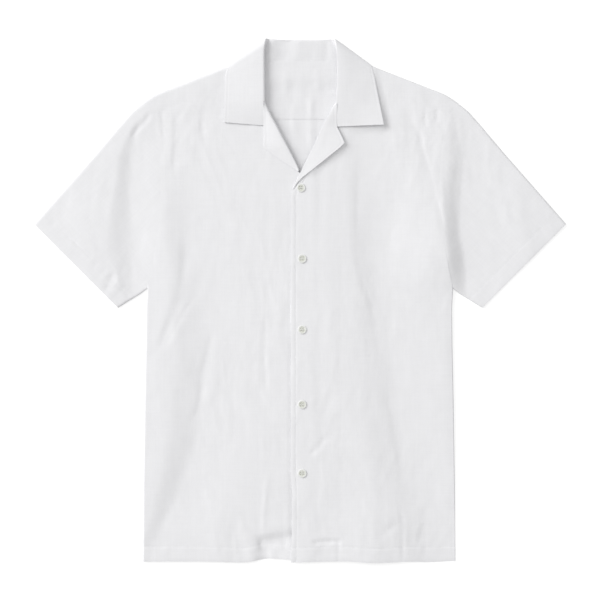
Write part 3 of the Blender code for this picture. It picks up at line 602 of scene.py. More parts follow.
def base_top(side, points):
    """Height of the front's upper face, with its folds pressed out."""
    out, up = points.T
    near_neck = 1 - smooth((out - FRONT_RISE_OUT) / FRONT_RISE_FADE)
    top = FRONT_TOP + FRONT_RISE * near_neck * smooth((up - FRONT_RISE_UP) / FRONT_RISE_RUN)
    if side == LEFT:
        step = LAP_STEP_SHARE * (1 - smooth((out - UNDERLAP_OUT + 1) / LAP_STEP_WIDTH))
        step *= smooth((up - LAP_STEP_UP) / LAP_STEP_FADE)
        slope = (1 - LAP_STEP_SHARE) * (1 - smooth((out - UNDERLAP_OUT) / LAP_FADE))
        top = top + LAP_RISE * (step + slope) * (1 - smooth((up - LAP_UP) / LAP_UP_FADE))
    return top


def upper_top(side, points):
    """Height of the upper layer's outer face, from the front edge to the cuff."""
    top = base_top(side, points) + fold_height(UPPER_FOLDS[side], points) + step_height(STEPS[side], points)
    spare = top + crumple(points, CRUMPLE_SEED[side]) - LOWEST_TOP
    return LOWEST_TOP + SOFTNESS * np.logaddexp(0, spare / SOFTNESS)


def hem_wave(side, out):
    line = curve_through(HEM_WAVES[side])
    return np.interp(out, line[:, 0], line[:, 1])


def hem_relief(from_edge, lengthwise, depth, seed):
    """A sewn hem: a soft edge, puckers, a groove at its stitches and the ridge of its fold."""
    stitch = depth - STITCH_FROM_FOLD
    plan = np.stack((lengthwise, from_edge), axis=1)
    pucker = value_noise(plan, (9, 16), seed) + 0.6 * value_noise(plan, (4.5, 12), seed + 1)
    near = bell(from_edge - stitch + 3, 9)
    relief = -HEM_GROOVE * bell(from_edge - stitch, 1.4) + HEM_RIDGE * bell(from_edge - stitch + 3.5, 3.0)
    relief += HEM_PUCKER * near * pucker
    return relief - 0.2 * bell(from_edge, 1.6) - HEM_EDGE_DROP * (1 - smooth(from_edge / 7))


def rounded(distance, radius):
    """0 at an edge, 1 from a radius inside it, and a quarter ellipse between."""
    return np.sqrt(1 - (1 - np.clip(distance / radius, 0, 1)) ** 2)


# ---- making meshes ----


def placed(side, points, heights):
    return np.stack((side * points[..., 0], HEM_Y + points[..., 1], heights), axis=-1)


def add_piece(name, vertices, faces, materials, slot):
    """A smooth mesh on the shirt, from vertices in millimetres."""
    mesh = bpy.data.meshes.new(name)
    mesh.from_pydata((np.asarray(vertices) * MM).tolist(), [], faces)
    mesh.shade_smooth()
    for material in materials:
        mesh.materials.append(material)
    piece = bpy.data.objects.new(name, mesh)
    bpy.context.scene.collection.objects.link(piece)
    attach(piece, BODY)
    return piece


def sharpen(mesh, walls):
    """Shades a mesh's last faces, walls of them, flat, and keeps their edges sharp."""
    count = len(mesh.polygons)
    mesh.polygons.foreach_set("use_smooth", np.arange(count) < count - walls)
    edges = np.empty(len(mesh.loops), int)
    mesh.loops.foreach_get("edge_index", edges)
    sharp = np.zeros(len(mesh.edges), bool)
    sharp[edges[-4 * walls :]] = True
    mesh.edges.foreach_set("use_edge_sharp", sharp)


def quads_of(rows, columns, closed):
    """The faces of a grid of points, row by row; closed joins its last column to its first."""
    index = np.arange(rows * columns).reshape(rows, columns)
    if closed:
        index = np.concatenate((index, index[:, :1]), axis=1)
    return np.stack((index[:-1, :-1], index[1:, :-1], index[1:, 1:], index[:-1, 1:]), axis=-1)


def grid_normals(grid, closed):
    if closed:
        across = np.roll(grid, -1, axis=1) - np.roll(grid, 1, axis=1)
    else:
        across = np.gradient(grid, axis=1)
    normals = np.cross(np.gradient(grid, axis=0), across)
    return normals / np.maximum(np.linalg.norm(normals, axis=-1, keepdims=True), 1e-9)


def shell(node, grid, thickness, material, up_at, closed=False, mask=None, centred=False, rounding=RIM):
    """A closed wall of cloth that stands for a node.

    The grid's points lie on its outer face or, centred, at the middle of its thickness. The
    outer face is the one that looks up at the grid's index up_at. A mask leaves cells out.
    """
    normals = grid_normals(grid, closed)
    flip = normals[up_at][2] < 0
    if flip:
        normals = -normals
    rows, columns = grid.shape[:2]
    quads = quads_of(rows, columns, closed)
    quads = quads[mask] if mask is not None else quads.reshape(-1, 4)
    if flip:
        quads = quads[:, ::-1]
    count = rows * columns
    starts = quads.reshape(-1)
    ends = np.roll(quads, -1, axis=1).reshape(-1)
    shared = np.isin(starts * count + ends, ends * count + starts)
    starts, ends = starts[~shared], ends[~shared]
    rim = np.zeros(count)
    rim[starts] = 1
    rim = rim.reshape(rows, columns)[..., None]
    full = np.broadcast_to(np.asarray(thickness, float), (rows, columns))[..., None] * normals
    above = full / 2 if centred else 0 * full
    outer = grid + above - rounding * rim * full
    inner = grid + above - full + rounding * rim * full
    walls = np.stack((ends, starts, starts + count, ends + count), axis=1)
    faces = np.concatenate((quads, quads[:, ::-1] + count, walls))
    vertices = np.concatenate((outer.reshape(-1, 3), inner.reshape(-1, 3)))
    vertices[:, 2] = np.maximum(vertices[:, 2], UNDERSIDE)
    used, faces = np.unique(faces, return_inverse=True)
    piece = add_piece(f"cloth_{node}", vertices[used], faces.reshape(-1, 4).tolist(), [material], "linen")
    sharpen(piece.data, len(walls))
    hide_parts(node)
    return piece


# ---- materials ----


def add_node(tree, kind, settings=(), inputs=()):
    node = tree.nodes.new(kind)
    for name, value in dict(settings).items():
        setattr(node, name, value)
    for name, value in dict(inputs).items():
        if isinstance(value, bpy.types.NodeSocket):
            tree.links.new(value, node.inputs[name])
        else:
            node.inputs[name].default_value = value
    return node


def maths(tree, operation, first, second):
    return add_node(tree, "ShaderNodeMath", {"operation": operation}, {0: first, 1: second}).outputs[0]


def new_material(name, inputs):
    """A material with these inputs on its shader: its tree, its shader and its own coordinates."""
    material = bpy.data.materials.new(name)
    material.use_nodes = True
    tree = material.node_tree
    shader = tree.nodes["Principled BSDF"]
    for socket, value in inputs.items():
        shader.inputs[socket].default_value = value
    return material, tree, shader, add_node(tree, "ShaderNodeTexCoord").outputs["Object"]


def stretched_noise(tree, place, scale, detail=2.0):
    mapping = add_node(tree, "ShaderNodeMapping", {"vector_type": "POINT"}, {"Vector": place, "Scale": scale})
    inputs = {"Vector": mapping.outputs[0], "Scale": 1.0, "Detail": detail, "Roughness": 0.6}
    return add_node(tree, "ShaderNodeTexNoise", {"noise_dimensions": "3D"}, inputs).outputs["Fac"]


def tint(tree, shader, colour, values, span, tints):
    """Colours a shader, scaled by tints as the values run over their span."""
    ranges = dict(zip(("From Min", "From Max", "To Min", "To Max"), (*span, *tints)))
    scale = add_node(tree, "ShaderNodeMapRange", {}, {"Value": values, **ranges}).outputs[0]
    mix = add_node(tree, "ShaderNodeVectorMath", {"operation": "SCALE"}, {0: colour, "Scale": scale})
    tree.links.new(mix.outputs[0], shader.inputs["Base Color"])


def emboss(tree, shader, height, strength, distance):
    inputs = {"Height": height, "Strength": strength, "Distance": distance}
    bump = add_node(tree, "ShaderNodeBump", {}, inputs)
    tree.links.new(bump.outputs[0], shader.inputs["Normal"])


def linen(name, turn=0.0):
    """White linen: a plain weave of uneven threads, its lengthwise threads turned from Y."""
    inputs = {"Roughness": 0.88, "Specular IOR Level": 0.3, "Sheen Weight": 0.08, "Sheen Roughness": 0.5}
    material, tree, shader, place = new_material(name, inputs)
    turned = add_node(tree, "ShaderNodeMapping", {}, {"Vector": place, "Rotation": (0, 0, turn)}).outputs[0]
    lengthwise = stretched_noise(tree, turned, (420, 16, 300))
    crosswise = stretched_noise(tree, turned, (24, 620, 300))
    blotch = stretched_noise(tree, turned, (60, 40, 60), 3.0)
    threads = maths(tree, "MULTIPLY", maths(tree, "ADD", lengthwise, crosswise), 0.55)
    slubs = maths(tree, "ADD", threads, maths(tree, "MULTIPLY", blotch, 0.7))
    pitch = 2.2 * THREADS_PER_METRE
    weave_x = stretched_noise(tree, turned, (pitch, 160, 400), 1.0)
    weave_y = stretched_noise(tree, turned, (160, pitch, 400), 1.0)
    weave = maths(tree, "MULTIPLY", maths(tree, "ADD", weave_x, weave_y), 0.5)
    tint(tree, shader, LINEN, slubs, (0.6, 1.2), (0.974, 1.026))
    emboss(tree, shader, maths(tree, "ADD", slubs, weave), 0.45, 0.00013)
    return material


def sewing_thread():
    material, tree, shader, place = new_material("thread", {"Roughness": 0.6})
    fibres = stretched_noise(tree, place, (4000, 4000, 4000))
    tint(tree, shader, THREAD, fibres, (0.3, 0.7), (0.94, 1.03))
    emboss(tree, shader, fibres, 0.4, 0.00005)
    return material


def pearl(name, colours):
    """Pearly resin with soft drifting bands, from its dark to its pale colour."""
    inputs = {"Roughness": 0.45, "Coat Weight": 0.15, "Coat Roughness": 0.1}
    material, tree, shader, place = new_material(name, inputs)
    drift = stretched_noise(tree, place, (260, 420, 600), 3.0)
    ramp = add_node(tree, "ShaderNodeValToRGB", {}, {"Fac": drift})
    for element, position, colour in zip(ramp.color_ramp.elements, (0.35, 0.65), colours):
        element.position = position
        element.color = (*colour, 1)
    tree.links.new(ramp.outputs["Color"], shader.inputs["Base Color"])
    return material


# ---- fronts and back ----


def shift_body(grid):
    """Moves the body's sides a little toward the shirt's right, as it lies below the armholes."""
    far = np.clip(np.abs(grid[..., 0]) / HEM_OUT, 0, 1) ** 3
    shift = np.where(grid[..., 0] > 0, BODY_SHIFT[LEFT], BODY_SHIFT[RIGHT])
    low = 1 - smooth((grid[..., 1] - HEM_Y - ARMPIT_UP + BODY_SHIFT_FADE) / BODY_SHIFT_FADE)
    grid[..., 0] -= shift * far * low


def front_outline_rows(side):
    """Inner and outer ends of a front's rows, from the hem to a tuck under the yoke."""
    ups = graded(ARMPIT_ROW_UP, FRONT_STEP, (True, False), (HEM_DEPTH - STITCH_FROM_FOLD,))
    outer_ups = ups * ARMPIT_UP / ARMPIT_ROW_UP
    rise = FORWARD_SEAM_NECK[1] - ARMPIT_ROW_UP
    shares = graded(rise, FRONT_STEP, (False, True))[1:] / rise
    inner_ups = np.concatenate((ups, ARMPIT_ROW_UP + rise * shares))
    tuck = np.array(YOKE_TUCKS)[:, None] * -FORWARD_SEAM_RIGHT
    inner = [np.stack((out_at(FRONT_EDGE[side], inner_ups), inner_ups), axis=1), FORWARD_SEAM[0] + tuck]
    outer = [np.stack((out_at(BODY_SIDE, outer_ups), outer_ups), axis=1)]
    outer += [armhole_points(FORWARD_SEAM_SHARE * shares), FORWARD_SEAM[1] + tuck]
    return np.concatenate(inner), np.concatenate(outer)


def front_top(side, points):
    """Height of a front's outer face, with its hem, edge, facing and seams."""
    out, up = points.T
    top = upper_top(side, points)
    top += hem_relief(up - hem_wave(side, out), out, HEM_DEPTH, HEM_SEED + side)
    seam = from_forward_seam(points)
    top -= 0.5 * SEAM_CLOTH * smooth((seam + 2) / 2)
    if side == LEFT:
        from_edge = out - out_at(FRONT_EDGE[side], up)
        pucker = value_noise(np.stack((from_edge, up), axis=1), (6, 8), EDGE_SEED)
        from_stitch = from_edge - FRONT_STITCH
        top += -FRONT_GROOVE * bell(from_stitch, 1.3) + FRONT_PUCKER * bell(from_stitch, 4) * pucker
        top -= FRONT_EDGE_DROP * (1 - smooth(from_edge / 2.5))
    else:
        drop = np.interp(up, *zip(*UNDERLAP_DROPS))
        lap_edge = -out_at(FRONT_EDGE[LEFT], np.minimum(up, UNDERLAP_END_UP))
        top -= drop * (1 - smooth((out - lap_edge - 0.4) / UNDERLAP_DROP_WIDTH))
    on_facing = 1 - smooth((out - FACING_OUT[side] + 1.5) / 3)
    top += FACING_RIDGE * on_facing * (1 - smooth((up - FACING_RIDGE_UP) / FACING_RIDGE_FADE))
    by_armhole = smooth((up - ARMPIT_UP) / 40) * (1 - smooth((seam + 45) / 35))
    top += SEAM_RIDGE * bell(armhole_distance(points) - SEAM_RIDGE_IN, 5) * by_armhole
    from_side = out_at(BODY_SIDE, up) - out
    below = 1 - smooth((up - ARMPIT_UP) / SIDE_FADE)
    top += SIDE_SLOPE[side] * (1 - smooth(from_side / SIDE_SLOPE_REACH)) * below
    lowest = BACK_TOP + 0.9 * CLOTH
    return top - (top - lowest) * (1 - rounded(from_side, SIDE_ROUNDING)) * below


def front_thickness(points):
    """Cloth is double over the facing and the hem, and thins out over the armhole's seam."""
    out, up = points.T
    thin = (1 - smooth(armhole_distance(points) / 7)) * smooth((up - ARMPIT_UP) / 15)
    facing = (1 - smooth((out - FACING_WIDTH) / 2)) * (1 - smooth((up - FACING_UP) / FACING_FADE))
    hem = 1 - smooth((up - HEM_DEPTH) / 2)
    return CLOTH + (DOUBLED - CLOTH) * np.maximum(facing, hem) - (CLOTH - SEAM_CLOTH) * thin


def build_front(side, material):
    inner, outer = front_outline_rows(side)
    shares = graded(FRONT_COLUMNS, FRONT_STEP, marks=(FRONT_STITCH,)) / FRONT_COLUMNS
    points = inner[:, None] + (outer - inner)[:, None] * shares[None, :, None]
    rows, columns = points.shape[:2]
    cut = points.reshape(-1, 2)
    laid = cut.copy()
    laid[:, 1] += hem_wave(side, cut[:, 0]) * (1 - smooth(cut[:, 1] / HEM_WAVE_REACH))
    grid = placed(side, laid, front_top(side, laid)).reshape(rows, columns, 3)
    shift_body(grid)
    thickness = front_thickness(cut).reshape(rows, columns)
    node = f"front_{SIDE_NAMES[side]}"
    return shell(node, grid, thickness, material, (rows // 2, columns // 2), rounding=FRONT_RIM)


def back_rise(points):
    near_neck = 1 - smooth((np.abs(points[:, 0]) - NECK_RISE_OUT) / NECK_RISE_FADE)
    return BACK_RISE * near_neck * smooth((points[:, 1] - BACK_RISE_UP) / BACK_RISE_RUN)


def neck_side_rise(points):
    """How the back climbs toward the collar's rolls; points hold X, with a sign, and up."""
    out, up = np.abs(points[:, 0]), points[:, 1]
    total = np.zeros(len(points))
    for side, (height, reach) in NECK_SIDE_RISE.items():
        inside = out_at(ROLL[side], up) - out
        climb = (1 - np.clip(inside / reach, 0, 1)) ** 2 * (1 - smooth((-inside - 4) / 14))
        ends = smooth((up - NECK_SIDE_UP) / NECK_SIDE_RUN) * (1 - smooth((up - COLLAR_SEAM_UP) / 25))
        total += np.where(np.sign(points[:, 0]) == side, height * climb * ends, 0)
    return total


def back_waves(points):
    """Creases of the back seen inside the neck; points hold X, with a sign, and up."""
    x, up = points.T
    in_neck = bell(x, NECK_CREASES_OUT) * smooth((up - NECK_CREASES_UP) / NECK_CREASES_RUN)
    in_neck = in_neck * (1 - 0.7 * smooth((up - COLLAR_SEAM_UP) / 20))
    waves = 0.5 + 0.5 * value_noise(points, (16, 50), BACK_SEED)
    waves += 0.4 * value_noise(points, (9, 28), BACK_SEED + 1)
    return in_neck * np.maximum(0.45 * waves + fold_height(BACK_FOLDS, points), 0) + neck_side_rise(points)


def build_back_body(material):
    """The back below the yoke, flat on the surface."""
    ups = graded(ARMPIT_UP, BACK_STEP, (True, False))
    sides = np.stack((out_at(BODY_SIDE, ups), ups), axis=1)
    armhole = armhole_points(np.linspace(0, YOKE_SEAM_SHARE, 60)[1:])
    outer = np.concatenate((sides, armhole, [armhole[-1] + (0, YOKE_OVERLAP)]))
    shares = graded(BACK_COLUMNS, BACK_STEP, (False, True)) / BACK_COLUMNS
    shares = np.concatenate((-shares[:0:-1], shares))
    x = outer[:, 0, None] * shares
    up = np.repeat(outer[:, 1, None], len(shares), axis=1)
    flat = np.stack((x.ravel(), up.ravel()), axis=1)
    wave = np.where(flat[:, 0] > 0, *(hem_wave(side, np.abs(flat[:, 0])) for side in (LEFT, RIGHT)))
    y = HEM_Y + flat[:, 1] + (wave + BACK_HEM_RISE) * (1 - smooth(flat[:, 1] / HEM_WAVE_REACH))
    heights = BACK_TOP + back_waves(flat) - 0.1 * smooth((flat[:, 1] - YOKE_SEAM_UP + 6) / 5)
    grid = np.stack((flat[:, 0], y, heights), axis=-1).reshape(*x.shape, 3)
    shift_body(grid)
    return shell("back_body", grid, CLOTH, material, (len(x) // 2, len(shares) // 2))


# ---- yoke ----


def fold_depths(radius):
    """Depths inside a folded edge, close together where it turns."""
    return radius * (1 - np.cos(FOLD_TURNS))


def armhole_bulge(ways, seam_share):
    """How far the armhole curves off its own chord, at ways down from the shoulder fold."""
    ends = armhole_points(np.array((1.0, seam_share)))
    return armhole_points(1 - ways * (1 - seam_share)) - ends[0] - ways[:, None] * (ends[1] - ends[0])


def yoke_half(share, target, seam_share, count, near_seam):
    """A column of the yoke from the shoulder fold down to a seam: its points and their depths."""
    crown = along(SHOULDER_LINE, share)
    length = np.linalg.norm(target - crown)
    middle = np.linspace(EDGE_ROUNDING, length, count)[1:-1]
    depths = np.concatenate((fold_depths(EDGE_ROUNDING), middle, length - np.array(near_seam)))
    line = crown + depths[:, None] * (target - crown) / length
    return line + share**8 * armhole_bulge(depths / length, seam_share), depths


def yoke_column(side, share):
    """A column over the shoulder fold, from the back seam to the forward one, and its back's length.

    Its outer face lies under the shoulder fold on the back, turns round it and lies over it in front.
    """
    seam_end = armhole_points(YOKE_SEAM_SHARE)
    neck_share = NECK_OUT / TIP_OUT
    seam = np.array((seam_end[0] * (neck_share + (1 - neck_share) * share), YOKE_SEAM_UP))
    forward = FORWARD_SEAM[0] + (FORWARD_SEAM[1] - FORWARD_SEAM[0]) * share + FORWARD_SEAM_RIGHT
    back, back_depths = yoke_half(share, seam, YOKE_SEAM_SHARE, *YOKE_BACK_ROWS)
    front, front_depths = yoke_half(share, forward, FORWARD_SEAM_SHARE, *YOKE_FRONT_ROWS)
    points = np.concatenate((back[::-1], front[1:]))
    depths = np.concatenate((back_depths[::-1], front_depths[1:]))
    top = upper_top(side, points) + SEAM_RIDGE * bell(from_forward_seam(points) - SEAM_RIDGE_IN, 5)
    low = UNDERSIDE + back_rise(points)
    middle = (top + low) / 2
    outer = np.where(np.arange(len(points)) < len(back), low, top)
    heights = middle + (outer - middle) * rounded(depths, EDGE_ROUNDING)
    return placed(side, points, heights), len(back)


def neck_column(x, top_up, back_rows, length):
    """A column of the yoke's back, from its seam to the neckline at x. Its front is left empty."""
    foot = np.array((x * armhole_points(YOKE_SEAM_SHARE)[0] / TIP_OUT, YOKE_SEAM_UP))
    shares = np.concatenate(([0, 0.004, 0.012, 0.025], np.linspace(0.05, 1, back_rows - 4)))
    points = foot + (np.array((x, top_up)) - foot) * shares[:, None]
    column = np.stack((points[:, 0], HEM_Y + points[:, 1], UNDERSIDE + back_rise(points)), axis=-1)
    return np.concatenate((column, np.repeat(column[-1:], length - back_rows, axis=0)))


def build_yoke(material):
    column_shares = graded(YOKE_COLUMNS, YOKE_STEP, (False, True)) / YOKE_COLUMNS
    halves = {}
    for side in (LEFT, RIGHT):
        columns = [yoke_column(side, share) for share in column_shares]
        halves[side] = np.array([column for column, _ in columns])
    back_rows = columns[0][1]
    length = halves[LEFT].shape[1]
    neck_outs = np.linspace(0, NECK_OUT, 27)[:-1]
    neck_line = curve_through((*BACK_NECK, SHOULDER[0]))
    neck = []
    for x in np.concatenate((-neck_outs[:0:-1], neck_outs)):
        neck.append(neck_column(x, np.interp(abs(x), *neck_line.T), back_rows, length))
    grid = np.concatenate((halves[RIGHT][::-1], neck, halves[LEFT]))
    flat = np.stack((grid[..., 0].ravel(), grid[..., 1].ravel() - HEM_Y), axis=1)
    on_back = np.arange(length) < back_rows
    grid[..., 2] += (YOKE_BACK_LIFT + back_waves(flat).reshape(grid.shape[:2])) * on_back
    mask = np.ones((grid.shape[0] - 1, length - 1), bool)
    first = len(column_shares)
    mask[first - 1 : first + len(neck), back_rows - 1 :] = False
    thickness = np.full(grid.shape[:2], CLOTH)
    thickness[:, -4:] = SEAM_CLOTH
    return shell("back_yoke", grid, thickness, material, (4, length - 5), mask=mask)


# ---- sleeves ----


def sleeve_plan(u, v):
    """Points of the flat sleeve: u from its top fold to the underarm, v from armhole to cuff."""
    top_line = np.array((armhole_points(1.0), *SLEEVE_TOP))
    under_line = np.array((armhole_points(0.0), *UNDERARM))
    down, across = u[:, None], 1 - u[:, None]
    sides = (1 - v) * armhole_points(1 - u) + v * along(CUFF, u)
    sides = sides + across * along(top_line, v) + down * along(under_line, v)
    corners = (1 - v) * (across * top_line[0] + down * under_line[0])
    return sides - (corners + v * (across * np.array(CUFF[0]) + down * np.array(CUFF[1])))


def sleeve_top(side, points):
    """Height of a sleeve's upper face, with its hem, sinking toward the cuff."""
    from_hem = from_cuff(points)
    lengthwise = points @ unit(np.array(CUFF[1]) - np.array(CUFF[0]))
    relief = CUFF_RELIEF[side] * hem_relief(from_hem, lengthwise, CUFF_DEPTH, CUFF_SEED + side)
    return upper_top(side, points) + relief - SLEEVE_THINNING * smooth(1 - from_hem / SLEEVE_THINNING_RUN)


def sleeve_row(side, v, tuck=0):
    """One ring of a sleeve's outer face. A tuck slides it under the body's edge."""
    fine = np.linspace(0, 1, 240)
    row = armhole_points(1 - (0.014 + 0.972 * fine), -tuck) if tuck else sleeve_plan(fine, v)
    length = reaches(row)[-1]
    ends = fold_depths(EDGE_ROUNDING)
    count = int(SLEEVE_COLUMNS / SLEEVE_STEP)
    middle = np.linspace(EDGE_ROUNDING, length - EDGE_ROUNDING, count)[1:-1]
    reach = np.concatenate((ends, middle, (length - ends)[::-1]))
    points = along(row, reach / length)
    turn = rounded(np.minimum(reach, length - reach), EDGE_ROUNDING)
    from_armhole = v * SLEEVE_RUN
    if tuck:
        top = sleeve_top(side, points) - SLEEVE_TUCK
        low = UNDERSIDE + CLOTH + 0.12
    else:
        top = sleeve_top(side, points) - SLEEVE_SINK * (1 - smooth(from_armhole / 7))
        low = UNDERSIDE + (CLOTH + 0.1) * (1 - smooth((from_armhole - 2) / 12))
    middle = (top + low) / 2
    upper = placed(side, points, middle + (top - middle) * turn)
    lower = placed(side, points, middle + (low - middle) * turn)
    return np.concatenate((upper, lower[-2:0:-1]))


def build_sleeve(side, material):
    marks = (SLEEVE_LENGTH - CUFF_DEPTH + STITCH_FROM_FOLD,)
    places = graded(SLEEVE_LENGTH, SLEEVE_STEP, marks=marks)
    rings = [sleeve_row(side, 0, tuck) for tuck in SLEEVE_TUCKS]
    rings += [sleeve_row(side, place / SLEEVE_LENGTH) for place in places]
    grid = np.array(rings)
    from_end = SLEEVE_LENGTH - np.concatenate((np.zeros(len(SLEEVE_TUCKS)), places))
    thickness = CLOTH + (DOUBLED - CLOTH) * (1 - smooth((from_end - CUFF_DEPTH) / 2))
    thickness = np.repeat(thickness[:, None], grid.shape[1], axis=1)
    return shell(f"sleeve_{SIDE_NAMES[side]}", grid, thickness, material, (20, 40), closed=True)


# ---- collar and lapels ----


def turned_lift(side, points, shares, start, end):
    """Height of the middle of a turned lapel or collar, from its roll or gorge to its edge."""
    inside = points[:, 0] - out_at(ROLL[side], points[:, 1])
    shoulder = ROLL_SHOULDER[side] * start * (1 - np.clip(inside / ROLL_SHOULDER_REACH, 0, 1)) ** 2
    fall = 0.6 * shares + 0.4 * smooth(shares)
    return base_top(side, points) + TURNED_CLEARANCE[side] + start + (end - start) * fall - shoulder


def turn_over(roll, toward, across, lean, centre_lift, radius):
    """The bend about a roll line, from the stand's side to the fall's.

    At a lean of 90 degrees the fall lies above the stand, and at -90 below it.
    """
    ahead = np.array((*unit(toward), 0.0))
    beside = np.array((-ahead[1], ahead[0], 0.0))
    if np.dot(beside[:2], across) < 0:
        beside = -beside
    tilt = math.radians(lean)
    fall_side = beside * math.cos(tilt) + np.array((0, 0, math.sin(tilt)))
    centre = np.array((*roll, centre_lift)) + ahead * (radius + TURNED_CLOTH / 2)
    turns = BEND_TURNS[:, None]
    return centre + radius * (fall_side * np.sin(turns) - ahead * np.cos(turns))


def section_of(foot, bend, fall):
    stand = foot + (bend[0] - foot) * STAND_SHARES[:, None]
    return np.concatenate((stand, bend, fall))


def back_section(section):
    """A section of the collar behind the neck or round the end of the shoulder fold."""
    foot = np.array((section.foot_out, section.foot_up, section.foot_lift))
    edge = np.array((section.edge_out, section.edge_up, section.edge_lift))
    roll = np.array((section.roll_out, section.roll_up))
    toward = (foot + edge)[:2] / 2 - roll
    bend = turn_over(roll, toward, (edge - foot)[:2], section.lean, section.centre_lift, section.radius)
    return section_of(foot, bend, bend[-1] + (edge - bend[-1]) * FALL_SHARES[:, None])


def foot_at(side, plan):
    """Where a section starts, just inside the cloth of the front below it."""
    return np.array((*plan, base_top(side, plan[None])[0] - FOOT_SINK))


def turned_section(side, foot, roll, edge, edge_lift):
    """A section of a lapel or of the collar's front, whose fall rests on the front below it."""
    toward = edge - roll
    growth = float(smooth((roll[1] - ROLL_GROWTH_UP) / ROLL_GROWTH))
    radius = SMALL_ROLL + (LARGE_ROLL[side] - SMALL_ROLL) * growth
    rise = float(np.interp(roll[1], *zip(*ROLL_RISE[side])))
    bend_end = roll + unit(toward) * min(radius + TURNED_CLOTH / 2, 0.6 * np.linalg.norm(toward))
    centre_lift = turned_lift(side, bend_end[None], np.zeros(1), rise, edge_lift)[0] - radius
    bend = turn_over(roll, toward, toward, 90, centre_lift, radius)
    plan = bend_end + (edge - bend_end) * FALL_SHARES[:, None]
    lifts = turned_lift(side, plan, FALL_SHARES, rise, edge_lift)
    return section_of(foot_at(side, foot), bend, np.concatenate((plan, lifts[:, None]), axis=1))


def gorge_section(side, section, edge, edge_lift, top):
    """A section of the fall below the stand's end, whose hidden start follows the one above, top."""
    inner = np.array((section.out, section.up))
    shares = np.concatenate(([0], FALL_SHARES))
    plan = inner + (edge - inner) * shares[:, None]
    lifts = turned_lift(side, plan, shares, section.lift, edge_lift)
    fall = np.concatenate((plan, lifts[:, None]), axis=1)
    row = top + (fall[0] - top[FALL_START])
    row[FALL_START:] = fall
    return row


def hermite_rows(rows, counts):
    """Rows set between given rows on smooth curves, counts[i] steps after row i."""
    rows = np.array(rows)
    steps = np.linalg.norm(np.diff(rows, axis=0), axis=-1).mean(axis=1)
    knots = np.concatenate(([0], np.cumsum(np.maximum(steps, 1e-6))))
    slopes = np.diff(rows, axis=0) / np.diff(knots)[:, None, None]
    before, after = np.diff(knots)[:-1], np.diff(knots)[1:]
    weight = (after / (before + after))[:, None, None]
    tangent = np.concatenate((slopes[:1], slopes[:-1] * weight + slopes[1:] * (1 - weight), slopes[-1:]))
    made = []
    for i, count in enumerate(counts):
        span = knots[i + 1] - knots[i]
        for t in np.arange(count) / count:
            made.append(
                (2 * t**3 - 3 * t**2 + 1) * rows[i]
                + (t**3 - 2 * t**2 + t) * span * tangent[i]
                + (3 * t**2 - 2 * t**3) * rows[i + 1]
                + (t**3 - t**2) * span * tangent[i + 1]
            )
    return np.array([*made, rows[-1]])


def collar_half(side):
    """The collar's rows from the centre back to the notch, and the row where its stand ends."""
    rows = [back_section(section) for section in BACK_SECTIONS]
    lifts = FALL_EDGE_LIFTS[side]
    neck = (*FRONT_EDGE[side], SHOULDER[0])
    for section, edge_lift in zip((*FRONT_SECTIONS, GORGE_TOP[side]), lifts):
        roll = np.array((out_at(ROLL[side], section.roll_up), section.roll_up))
        foot = np.array((out_at(neck, section.foot_up) - FOOT_GAP, section.foot_up))
        edge = along(COLLAR_OUTER_EDGE[side], section.edge_share)
        rows.append(turned_section(side, foot, roll, edge, edge_lift))
    stand_end = sum(COLLAR_ROW_COUNTS[: len(rows) - 1])
    top = rows[-1]
    for section, edge_lift in zip(GORGE[side], lifts[-len(GORGE[side]) :]):
        edge = along(COLLAR_OUTER_EDGE[side], section.edge_share)
        rows.append(gorge_section(side, section, edge, edge_lift, top))
    dense = hermite_rows(rows, COLLAR_ROW_COUNTS)
    before, last = dense[-2:]
    close = [before + (last - before) * share for share in (0.4, 0.75, 0.92)]
    dense = np.concatenate((dense[:-1], close, [last]))
    return placed(side, dense, dense[..., 2]), stand_end


def edge_stitch_groove(grid):
    """The sunken line of the stitching along the outer edge, by its distance from the edge."""
    from_edge = np.linalg.norm(grid[..., :2] - grid[:, -1:, :2], axis=-1)
    ridge = EDGE_RIDGE * bell(from_edge - EDGE_STITCH / 2, 1.4)
    return -EDGE_GROOVE * bell(from_edge - EDGE_STITCH, 1.1) + ridge


def turned_thickness(grid):
    """Thickness of a turned piece, pressed thin along its roll."""
    columns = np.arange(grid.shape[1])
    pressed = smooth((columns - 6) / 4) * (1 - smooth((columns - FALL_START) / 6))
    on_left = smooth(grid[:, FALL_START, 0] / 20)
    press = ROLL_PRESS[RIGHT] + (ROLL_PRESS[LEFT] - ROLL_PRESS[RIGHT]) * on_left
    return TURNED_CLOTH - press[:, None] * pressed


def cloth_waves(grid, height, seed):
    """Small unevenness of a turned piece, by its place in plan."""
    flat = grid[..., :2].reshape(-1, 2)
    waves = value_noise(flat, (22, 34), seed) + 0.4 * value_noise(flat, (8, 12), seed + 1)
    return height * waves.reshape(grid.shape[:2])


def build_collar(material):
    left, left_end = collar_half(LEFT)
    right, right_end = collar_half(RIGHT)
    grid = np.concatenate((left[::-1], right[1:]))
    rows, columns = grid.shape[:2]
    centre = len(left) - 1
    cells = np.arange(rows - 1)
    mask = np.ones((rows - 1, columns - 1), bool)
    mask[(cells < centre - left_end) | (cells >= centre + right_end), :FALL_START] = False
    places = np.arange(columns)
    on_fall = smooth((places - FALL_START) / 8)
    on_stand = smooth(places / 4) * (1 - smooth((places - 9) / 5))
    grid[..., 2] += (edge_stitch_groove(grid) + cloth_waves(grid, FALL_WAVES, FALL_SEED)) * on_fall
    grid[..., 2] += cloth_waves(grid, STAND_WAVES, STAND_SEED) * on_stand
    grid[..., 2] = np.maximum(grid[..., 2], UNDERSIDE + TURNED_CLOTH / 2)
    return shell("collar", grid, turned_thickness(grid), material, (4, columns - 12), mask=mask, centred=True)


